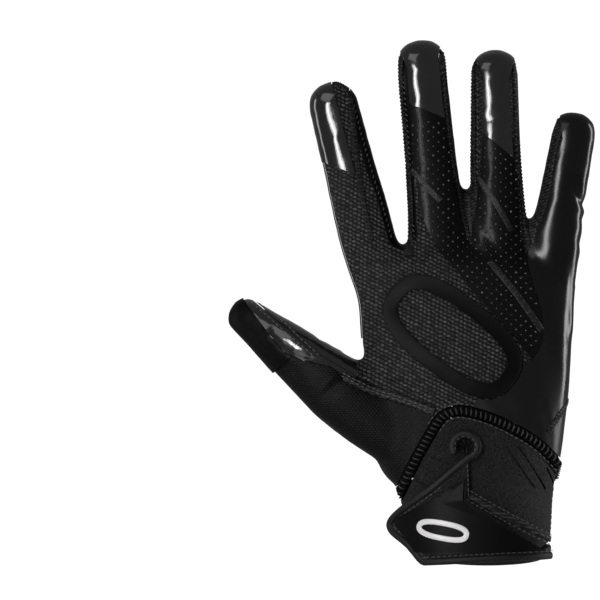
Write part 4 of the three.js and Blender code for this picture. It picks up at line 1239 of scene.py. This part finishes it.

# ---- Welt, thumb band and welt bars -------------------------------------------------------------------
# A ribbed roll of knit binds the lower edge of the back, and a narrower band runs from it to the thumb.
welt = sewn_roll("ribbed_welt", evenly(WELT_LINE, 0.3), WELT_WIDTH, 1.9, pitch=0.3, power=2.2, sink=1.2, relief=ribs(2.1, 0.3, 0.5))
thumb_band = sewn_roll("thumb_knit_band", BAND_LINE, 3.7, 0.9, pitch=0.4, power=2.6, sink=0.9, relief=ribs(1.8, 0.6, 0.3))
ladder = [(evenly(WELT_LINE, 1)[5:-3], "back", 1.2, 80)]
welt_bars = stitches("welt_bars", ladder, length=4.3, pitch=2.1, radius=0.36, bow=5.2)
wear([thumb_band], fine_knit, node="thumb_band")

material, tree, shader, place, split = start_finish("welt_thread")
fine = noise(tree, place, 2500.0, 2.0)
bump(tree, shader, fine, 0.08)
tree.links.new(tone(tree, fine, (0.03, 0.03, 0.031), (0.085, 0.085, 0.087)), shader.inputs["Base Color"])
tree.links.new(span(tree, fine, 0.4, 0.6), shader.inputs["Roughness"])
shader.inputs["Specular IOR Level"].default_value = 0.2
wear([welt_bars], material)

material, tree, shader, place, split = start_finish("welt_cord")
fine = noise(tree, place, 2500.0, 2.0)
bump(tree, shader, fine, 0.1)
tree.links.new(tone(tree, fine, (0.002, 0.002, 0.0025), (0.006, 0.006, 0.0065)), shader.inputs["Base Color"])
shader.inputs["Roughness"].default_value = 0.8
shader.inputs["Specular IOR Level"].default_value = 0.05
welt_cord = material
wear([welt], welt_cord, node="welt")

# ---- Wrist wrap ------------------------------------------------------------------------------------------
# A cuff of neoprene is sewn below the welt and round both sides of the palm's tail, with flex lines
# pressed into it and a bound edge at the hem.
WRAP_TOP = 2 - WALL
FLEX_WIDTH, FLEX_DEPTH = 0.8, 0.8
KEYHOLE = on_hand([(-0.062, 0.371)])[0]
KEYHOLE_RADIUS = 3.3
parting = back_of(0, [below_ridge])
wrap_place = as_cutter(carve(copy_of(parting, "wrap_place"), keep=[below_welt], remove=[welt_zone, under_band]))
for side in (-1, 1):
    tail_side = carve(beside_tail(side, SEAM_GAP), remove=[parting])
    carve(wrap_place, add=[tail_side])
keyhole_disc = prism(oval(KEYHOLE, 2 * KEYHOLE_RADIUS, 2 * KEYHOLE_RADIUS, 0, 2, 40), -FAR, 0)
FLEX_LINES = [
    [(11.6, 50.1), (17.5, 41.5), (23.6, 32.6)], [(28.9, 41.1), (30.9, 37.2), (32.6, 33.0)],
    [(16.4, 50.6), (23, 41), (28.5, 32.0)], [(-20.6, 45.9), (-17.3, 44.6), (-13.8, 43.6)],
    [(-27, 36.4), (-23.4, 34.0), (-19.7, 32.1)], [(24.6, 50.5), (29.5, 43.0), (33.0, 38.5)],
]
flex_shell = layer(WRAP_TOP - FLEX_DEPTH, WRAP_TOP + 1)
flex_grooves = [as_cutter(carve(copy_of(flex_shell, f"flex_{k}"), keep=[stroke(rows_between(line, 4), FLEX_WIDTH), back]))
                for k, line in enumerate(FLEX_LINES)]
wrap = panel("neoprene_wrap", layer(-WALL, WRAP_TOP), keep=[clear_of_hem, wrap_place], remove=[keyhole_disc, *flex_grooves])

material, tree, shader, place, split = start_finish("neoprene")
fine = noise(tree, place, 1500.0, 4.0, 0.75)
wide = noise(tree, place, 90.0, 3.0)
grit = tree.nodes.new("ShaderNodeMapRange")
tree.links.new(fine, grit.inputs["Value"])
grit.inputs["From Min"].default_value = 0.36
grit.inputs["From Max"].default_value = 0.66
fine = grit.outputs["Result"]
bump(tree, shader, fine, 0.2)
tree.links.new(tone(tree, fine, (0.0008, 0.0008, 0.001), (0.065, 0.065, 0.066)), shader.inputs["Base Color"])
tree.links.new(span(tree, wide, 0.55, 0.72), shader.inputs["Roughness"])
shader.inputs["Specular IOR Level"].default_value = 0.1
neoprene = material
wear([wrap], neoprene, node="wrist_wrap")
side_strip = sewn_roll("side_knit_strip", rows_between([(29.0, 56.5), (34, 64.0), (37.8, 69.7)], 6), 3.0, 0.6, lift=0.9,
                       power=2.6, sink=0.8, pitch=0.35, relief=ribs(1.3, 0.6, 0.5))
wear([side_strip], fine_knit)

# Hem binding: a fold of tape all round the opening, rolled over the wall.
hem_turn = np.linspace(0, 2 * math.pi, 320, endpoint=False)
hem_places, hem_normals = [], []
for turn in hem_turn:
    out = Vector((math.cos(turn), math.sin(turn), 0))
    x = 0.03 * math.cos(turn)
    for _ in range(4):
        z = np.interp(x / MM, HEM_LINE[:, 0], HEM_LINE[:, 1]) * MM + HEM_HEIGHT / 2 * MM
        place, normal, _, _ = surface.ray_cast(Vector((0, 0, z)), out)
        x = place.x
    hem_places.append(place)
    hem_normals.append(normal)
hem_places = np.array(hem_places) + np.array(hem_normals) * (WRAP_TOP - WALL) / 2 * MM
hem_binding = roll("hem_tape", eased(hem_places, True, 6), np.array(hem_normals), HEM_HEIGHT, 1.8, closed=True, power=3.2, sink=1.5)

material, tree, shader, place, split = start_finish("binding_tape")
fine = noise(tree, place, 1500.0, 2.0)
rib = add_node(tree, "ShaderNodeMath", sums(tree, "MULTIPLY", sums(tree, "ADD", split["X"], split["Z"]), 2 * math.pi / (0.9 * MM)), operation="SINE").outputs[0]
bump(tree, shader, sums(tree, "ADD", fine, sums(tree, "MULTIPLY", rib, 0.4)), 0.06)
tree.links.new(tone(tree, fine, (0.004, 0.004, 0.0043), (0.016, 0.016, 0.0165)), shader.inputs["Base Color"])
tree.links.new(span(tree, fine, 0.45, 0.6), shader.inputs["Roughness"])
shader.inputs["Specular IOR Level"].default_value = 0.2
binding_tape = material
wear([hem_binding], binding_tape, node="hem_binding")

# Keyhole: the gathered cloth inside the curl of the strap's binding.
bpy.ops.object.select_all(action="DESELECT")
bpy.ops.mesh.primitive_grid_add(x_subdivisions=96, y_subdivisions=10)
gathers = bpy.context.active_object
gathers.name = "keyhole_gathers"
raw = coordinates(gathers)
turn = (raw[:, 0] / raw[:, 0].max() + 1) * math.pi
reach = (raw[:, 1] / raw[:, 1].max() + 1) / 2
page = KEYHOLE + np.stack([np.cos(turn), np.sin(turn)], axis=1) * (reach * (KEYHOLE_RADIUS - SEAM_GAP))[:, None]
pleat = np.cos(7 * turn + 2.2 * reach) * 0.75 * np.sin(math.pi * np.clip(reach, 0, 1)) ** 0.7
spots, tops = on_surface(page, "back", 0.25 + pleat - 0.35 * (1 - reach))
put_coordinates(gathers, spots)
bpy.ops.object.mode_set(mode="EDIT")
bpy.ops.mesh.select_all(action="SELECT")
bpy.ops.mesh.remove_doubles(threshold=1e-6)
bpy.ops.mesh.normals_make_consistent(inside=False)
bpy.ops.object.mode_set(mode="OBJECT")
apply_modifier(gathers, "SOLIDIFY", thickness=0.8 * MM, offset=-1)
smooth_faces(gathers, 60)
wear([gathers], neoprene, node="keyhole_gusset")

# ---- Strap, its binding and its tab ------------------------------------------------------------------
# The strap is neoprene with a taped edge that curls round the keyhole. A moulded rubber tab with a raised
# facet is sewn on its end, and hooks under it hold it to the wrap.
PATCH_FROM = WRAP_TOP + SEAM_GAP
STRAP_FROM = PATCH_FROM + 0.8 + SEAM_GAP
STRAP_TOP = STRAP_FROM + 2
TAB_FROM = STRAP_TOP + SEAM_GAP
TAB_THICKNESS = 1.2
TAB_TOP = TAB_FROM + TAB_THICKNESS
BINDING_WIDTH, BINDING_HEIGHT = 3.4, 0.6
top_corner, end_corner, foot_corner = on_hand([(-0.05, 0.335), (-0.36, 0.135), (-0.225, 0.016)])
seam_foot, strap_notch = on_hand([(0.28, 0.03), (-0.045, 0.2)])
curl_radius = KEYHOLE_RADIUS + BINDING_WIDTH / 2 + SEAM_GAP
curl_turn = np.radians(np.linspace(215, -48, 24))
CURL = KEYHOLE + curl_radius * np.stack([np.cos(curl_turn), np.sin(curl_turn)], axis=1)
STRAP_EDGE = rows_between([
    top_corner, top_corner + 0.5 * (end_corner - top_corner), top_corner + 0.9 * (end_corner - top_corner),
    on_hand([(-0.352, 0.112)])[0], end_corner + 0.6 * (foot_corner - end_corner), foot_corner,
    on_hand([(-0.19, 0.014)])[0], foot_corner + 0.5 * (seam_foot - foot_corner), seam_foot], 5)
binding_line = np.vstack([CURL, STRAP_EDGE])


def plate(name, outline, low, high, bevel, relief=None, cell=1.6, creases=()):
    """A moulded plate: an outline extruded flat, its upper edge bevelled, cut into cells and laid on the
    form. relief(page) adds mm to the height of its top; creases are lines that its facets meet at."""
    outline = np.asarray(outline, float)
    bpy.ops.object.select_all(action="DESELECT")
    bpy.ops.mesh.primitive_circle_add(vertices=len(outline), radius=1, fill_type="NGON")
    piece = bpy.context.active_object
    piece.name = name
    put_coordinates(piece, np.stack([outline[:, 0], outline[:, 1], np.zeros(len(outline))], axis=1))
    bpy.ops.object.mode_set(mode="EDIT")
    bpy.ops.mesh.select_all(action="SELECT")
    bpy.ops.mesh.extrude_region_move(TRANSFORM_OT_translate={"value": (0, 0, high - low)})
    bpy.ops.mesh.normals_make_consistent(inside=False)
    bpy.ops.object.mode_set(mode="OBJECT")
    mesh = bmesh.new()
    mesh.from_mesh(piece.data)
    rim = [edge for edge in mesh.edges if all(v.co.z > (high - low) / 2 for v in edge.verts)]
    bmesh.ops.bevel(mesh, geom=rim, offset=bevel, segments=3, profile=0.5, affect="EDGES")
    low_corner, high_corner = outline.min(0) - 1, outline.max(0) + 1
    planes = [((x, 0, 0), (1, 0, 0)) for x in np.arange(low_corner[0], high_corner[0], cell)]
    planes += [((0, y, 0), (0, 1, 0)) for y in np.arange(low_corner[1], high_corner[1], cell)]
    for a, b in creases:
        run = np.subtract(b, a)
        planes.append(((*a, 0), (-run[1], run[0], 0)))
    for place, normal in planes:
        bmesh.ops.bisect_plane(mesh, geom=mesh.verts[:] + mesh.edges[:] + mesh.faces[:], plane_co=place,
                               plane_no=normal, dist=1e-5)
    mesh.to_mesh(piece.data)
    mesh.free()
    flat = coordinates(piece)
    height = low + flat[:, 2]
    if relief is not None:
        height += relief(flat[:, :2]) * flat[:, 2] / (high - low)
    put_coordinates(piece, on_strap(flat[:, :2], height)[0])
    return smooth_faces(piece, 22)


STRAP_FLEX = [[(6.5, 25.5), (14.1, 17.5), (21.5, 9.5)], [(14.1, 28.3), (23, 18.5), (32.1, 9.0)]]


def press_groove(piece, line, deep, wide):
    """Presses a fine groove into the upper face of a plate on the strap."""
    points = coordinates(piece)
    distance, _ = nearest_on_line(points[:, [0, 2]] / MM, rows_between(line, 5))
    depth = deep * np.exp(-((distance / wide) ** 2))
    put_coordinates(piece, points - point_normals(piece) * depth[:, None] * MM)


TAB_OUTLINE = on_hand([(-0.062, 0.262), (-0.065, 0.2), (0.23, 0.05), (-0.165, 0.042), (-0.245, 0.05), (-0.325, 0.135)])
FACET_OUTLINE = on_hand([(-0.068, 0.255), (-0.07, 0.203), (-0.15, 0.2)])
strap = plate("neoprene_strap", [*STRAP_EDGE, strap_notch], STRAP_FROM, STRAP_TOP, 0.6, cell=1.2)
for line in STRAP_FLEX:
    press_groove(strap, line, 0.5, 0.5)
strap_binding = sewn_roll("strap_tape", binding_line, 3.2, 1.3, lift=STRAP_TOP - 0.6, side="strap",
                          power=2.3, sink=1.6, pitch=0.5)
seam_ridge = sewn_roll("strap_seam_ridge", [(-4.4, 29.6), (13, 19.3), (27.4, 10.9)], 2.6, 0.75, lift=STRAP_TOP - 0.1,
                       side="strap", power=3, sink=0.4, pitch=0.4, relief=ribs(1.3, 0.5, 0.35))
tab = plate("moulded_tab", TAB_OUTLINE, TAB_FROM, TAB_TOP, 0.5)

SLIVER_OUTLINE = [(-14.4, 26.4), (-6.9, 26.9), (0.6, 20.2)]


def facet_tilt(page):
    """The corner facet rises towards the tab's upright edge."""
    return 1.3 * np.clip((page[:, 0] + 16) / 9, 0, 1)


facet = plate("tab_facet", FACET_OUTLINE, TAB_TOP - 0.3, TAB_TOP + 0.15, 0.1, relief=facet_tilt)
sliver = plate("tab_sliver", SLIVER_OUTLINE, TAB_TOP - 0.3, TAB_TOP + 0.15, 0.1,
               relief=lambda page: 0.9 * np.clip((page[:, 1] - 22) / 5, 0, 1))
BADGE_LENGTH, BADGE_BREADTH, BADGE_BAND, BADGE_TILT = 20, 8.4, 2.3, -12
badge_line = oval(on_hand([(-0.141, 0.11)])[0], BADGE_LENGTH - BADGE_BAND, BADGE_BREADTH - BADGE_BAND, BADGE_TILT, 2.6)
badge = sewn_roll("oval_badge", [*badge_line, badge_line[0]], BADGE_BAND, 0.7, lift=TAB_TOP + SEAM_GAP, side="strap", closed=True, power=4,
                  sink=0.2, pitch=0.4)
wear([strap], neoprene, node="wrist_strap")
wear([strap_binding], binding_tape, node="strap_binding")
wear([seam_ridge], fine_knit)
wear([tab], moulded_rubber, node="strap_tab")
wear([facet, sliver], moulded_rubber)
closure_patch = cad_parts["closure_patch"]
closure_patch.data.materials.clear()
closure_patch.data.materials.append(binding_tape)

material, tree, shader, place, split = start_finish("white_rubber")
fine = noise(tree, place, 300.0, 3.0)
bump(tree, shader, fine, 0.02)
tree.links.new(tone(tree, fine, (0.72, 0.7, 0.7), (0.84, 0.83, 0.83)), shader.inputs["Base Color"])
tree.links.new(span(tree, fine, 0.3, 0.42), shader.inputs["Roughness"])
# The badge glows faintly of its own: painted light that keeps its white bright.
shader.inputs["Emission Color"].default_value = (1, 0.98, 0.98, 1)
shader.inputs["Emission Strength"].default_value = 0.3
wear([badge], material, node="tab_badge")
# ---- Stitching -----------------------------------------------------------------------------------------
def finger_edge(name, aside, low, high):
    """A line along a finger at a share of its half width, which follows its taper and ends at the tip."""
    _, _, _, length, width, tip = FINGERS[name]
    line = []
    for share in np.linspace(low, high, 12):
        taper = np.interp(share, [r[0] for r in FINGER_ROWS], [r[1] for r in FINGER_ROWS])
        half = (1 + (tip - 1) * taper) * 0.5
        from_tip = max(0.0, (share * length - (length - tip * width / 2)) / (tip * width / 2))
        half *= (1 - min(from_tip, 0.98) ** SECTION_POWER) ** (1 / SECTION_POWER)
        line.append(finger_point(name, share, aside * half))
    return np.array(line)


palm_rows = []
for distance in (1.1, 2.4, 3.8):
    palm_rows.append((moved_aside(THUMB_ARC, distance)[1:-1], "palm", 0.02, 0))
for name in FINGERS:
    for aside in (-0.84, 0.84):
        palm_rows.append((finger_edge(name, aside, -0.04, 0.93), "palm", 0.02, 0))
web_rows = []
for distance in (1.2, 2.5):
    web_rows.append((moved_aside(WEB_LINE[:2], distance), "palm", 0.02, 0))
    web_rows.append((moved_aside(WEB_LINE[1:3], distance), "palm", 0.02, 0))
for side in (-1, 1):
    for distance in (1.2, 2.6, 4.0):
        palm_rows.append((moved_aside(TAIL_EDGES[side], distance * side) * 1.0, "palm", 0.02 + (WRAP_TOP if distance > 0 else 0), 0))
palm_stitches = stitches("palm_stitches", palm_rows + web_rows)

back_rows = []
for name, asides in (("index", (0.8,)), ("middle", (-0.8, 0.8)), ("ring", (-0.8, 0.8)), ("little", (-0.8,))):
    for aside in asides:
        back_rows.append((finger_edge(name, aside, 0.0, 0.86), "back", 0.05, 35 * np.sign(aside)))
for distance in (0.7, -0.7):
    back_rows.append((moved_aside(BAND_LINE[:-1], distance), "back", 0.85, 0))
for distance in (2.9, -2.9):
    back_rows.append((moved_aside(WELT_LINE, distance)[13:-5], "back", 0.05 if distance > 0 else WRAP_TOP, 0))
for line in ([(-97.0, 111.5), (-86.7, 102.6), (-77.5, 94.7), (-71.6, 89.8)], [(-93.6, 111.0), (-83.6, 103.5), (-75.7, 95.9), (-68.8, 89.6)]):
    back_rows.append((rows_between(line, 4), "back", 0.05, 0))
back_stitches = stitches("back_stitches", back_rows, length=1.6, pitch=2.4, radius=0.19)
rim_places, rim_normals = [], []
for z in np.linspace(96, 199, 200):
    start = np.interp(z, *CROTCH_LINE[1:].T[::-1]) if z < CROTCH_LINE[-1][1] else CROTCH_LINE[-1][0]
    place, normal, _, _ = surface.ray_cast(Vector((start, curl_at(z) - 1.2, z)) * MM, Vector((1, 0, 0)))
    rim_places.append(place)
    rim_normals.append(normal)
index_rim = roll("index_edge", eased(np.array(rim_places), False), np.array(rim_normals), 2.2, 0.75, power=2.4, sink=0.6)

strap_rows = [(moved_aside(STRAP_EDGE, 2.1)[4:], "strap", STRAP_TOP + 0.05, 0),
              (moved_aside(CURL, -1.1)[2:], "strap", STRAP_TOP + 0.35, 0),
              (rows_between([(-5.3, 42), (-5.0, 36), (-4.7, 29.8)], 4), "strap", STRAP_TOP + 0.05, 0),
              (rows_between([(-3.4, 31.0), (14, 20.9), (27.5, 12.9)], 6), "strap", STRAP_TOP + 0.05, 0),
              (rows_between([(-4.9, 27.6), (13.0, 17.1), (26.5, 9.2)], 6), "strap", STRAP_TOP + 0.05, 0)]
strap_stitches = stitches("strap_stitches", strap_rows, length=1.4, pitch=2.1, radius=0.16)
wear([index_rim], film_gloss)

material, tree, shader, place, split = start_finish("thread")
fine = noise(tree, place, 3000.0, 2.0)
bump(tree, shader, fine, 0.05)
# The black thread is painted grey: a painted sheen along the stitches.
tree.links.new(tone(tree, fine, (0.12, 0.12, 0.122), (0.22, 0.22, 0.223)), shader.inputs["Base Color"])
tree.links.new(span(tree, fine, 0.4, 0.6), shader.inputs["Roughness"])
wear([palm_stitches], material)
wear([back_stitches], material)
wear([strap_stitches], material)
for cutter in {*cutters, *layers.values()}:
    bpy.data.objects.remove(cutter)


# ---- Studio ----------------------------------------------------------------------------------------------
bpy.ops.object.select_all(action="DESELECT")
bpy.ops.mesh.primitive_plane_add(size=1)
sweep = bpy.context.active_object
sweep.name = "studio_sweep"
bpy.ops.object.mode_set(mode="EDIT")
bpy.ops.mesh.select_all(action="SELECT")
bpy.ops.mesh.subdivide(number_cuts=40)
bpy.ops.object.mode_set(mode="OBJECT")
raw = coordinates(sweep)
SWEEP_LENGTH, SWEEP_FROM = 16.0, -7.0
run = (raw[:, 1] + 0.5) * SWEEP_LENGTH + SWEEP_FROM
FLOOR, BEND, BEND_START = -0.35, 1.5, 5.0
past = np.clip((run - BEND_START) / (math.pi / 2 * BEND), 0, 1) * math.pi / 2
rise = np.maximum(0, run - BEND_START - math.pi / 2 * BEND)
y = np.minimum(run, BEND_START) + BEND * np.sin(past)
z = FLOOR + BEND * (1 - np.cos(past)) + rise
put_coordinates(sweep, np.stack([raw[:, 0] * SWEEP_LENGTH, y, z], axis=1))
smooth_faces(sweep, 60)
material, tree, shader, place, split = start_finish("pale_paper")
fine = noise(tree, place, 40.0, 3.0)
tree.links.new(tone(tree, fine, (0.86, 0.86, 0.86), (0.9, 0.9, 0.9)), shader.inputs["Base Color"])
shader.inputs["Roughness"].default_value = 0.9
shader.inputs["Emission Color"].default_value = (1, 1, 1, 1)
seen = tree.nodes.new("ShaderNodeLightPath").outputs["Is Camera Ray"]
tree.links.new(span(tree, seen, 0.12, 1.0), shader.inputs["Emission Strength"])
sweep.data.materials.append(material)

AIM = Vector((-0.03, 0, 0.11))


def softbox(name, azimuth, elevation, distance, width, height, power):
    """An area light that faces the glove; azimuth 0 is the camera's side and grows to its right."""
    light = bpy.data.lights.new(name, "AREA")
    light.shape = "RECTANGLE"
    light.size, light.size_y = width, height
    light.energy = power
    lamp = bpy.data.objects.new(name, light)
    a, e = math.radians(azimuth), math.radians(elevation)
    lamp.location = AIM + distance * Vector((math.sin(a) * math.cos(e), -math.cos(a) * math.cos(e), math.sin(e)))
    lamp.rotation_euler = (AIM - lamp.location).to_track_quat("-Z", "Y").to_euler()
    bpy.context.scene.collection.objects.link(lamp)
    return lamp


softbox("left_key", -26, 6, 1.8, 0.1, 1.5, 6)
softbox("left_strip", -26, 6, 1.9, 0.5, 1.5, 26).visible_diffuse = False
softbox("left_edge", -95, 0, 1.6, 0.3, 1.6, 6).visible_diffuse = False
softbox("right_strip", 104, 5, 1.6, 0.3, 1.8, 16)
softbox("front_fill", -40, 45, 2.4, 1.4, 1.0, 6)

world = bpy.data.worlds.new("studio_air")
bpy.context.scene.world = world
world.use_nodes = True
air = world.node_tree
air.nodes.clear()
dim = air.nodes.new("ShaderNodeBackground")
dim.inputs["Color"].default_value = (1, 1, 1, 1)
dim.inputs["Strength"].default_value = 0.03
white = air.nodes.new("ShaderNodeBackground")
white.inputs["Color"].default_value = (1, 1, 1, 1)
white.inputs["Strength"].default_value = 1.0
path = air.nodes.new("ShaderNodeLightPath")
blend = air.nodes.new("ShaderNodeMixShader")
sky = air.nodes.new("ShaderNodeOutputWorld")
air.links.new(path.outputs["Is Camera Ray"], blend.inputs[0])
air.links.new(span(air, path.outputs["Is Glossy Ray"], 0.03, 0.22), dim.inputs["Strength"])
air.links.new(dim.outputs[0], blend.inputs[1])
air.links.new(white.outputs[0], blend.inputs[2])
air.links.new(blend.outputs[0], sky.inputs["Surface"])

camera_lens = bpy.data.cameras.new("camera")
camera_lens.lens = 308
camera_lens.sensor_width = 36
camera = bpy.data.objects.new("camera", camera_lens)
camera.location = (-0.0763, -2.2, 0.1127)
camera.rotation_euler = (math.pi / 2, 0, 0)
bpy.context.scene.collection.objects.link(camera)
bpy.context.scene.camera = camera
bpy.context.scene.view_settings.view_transform = "Standard"
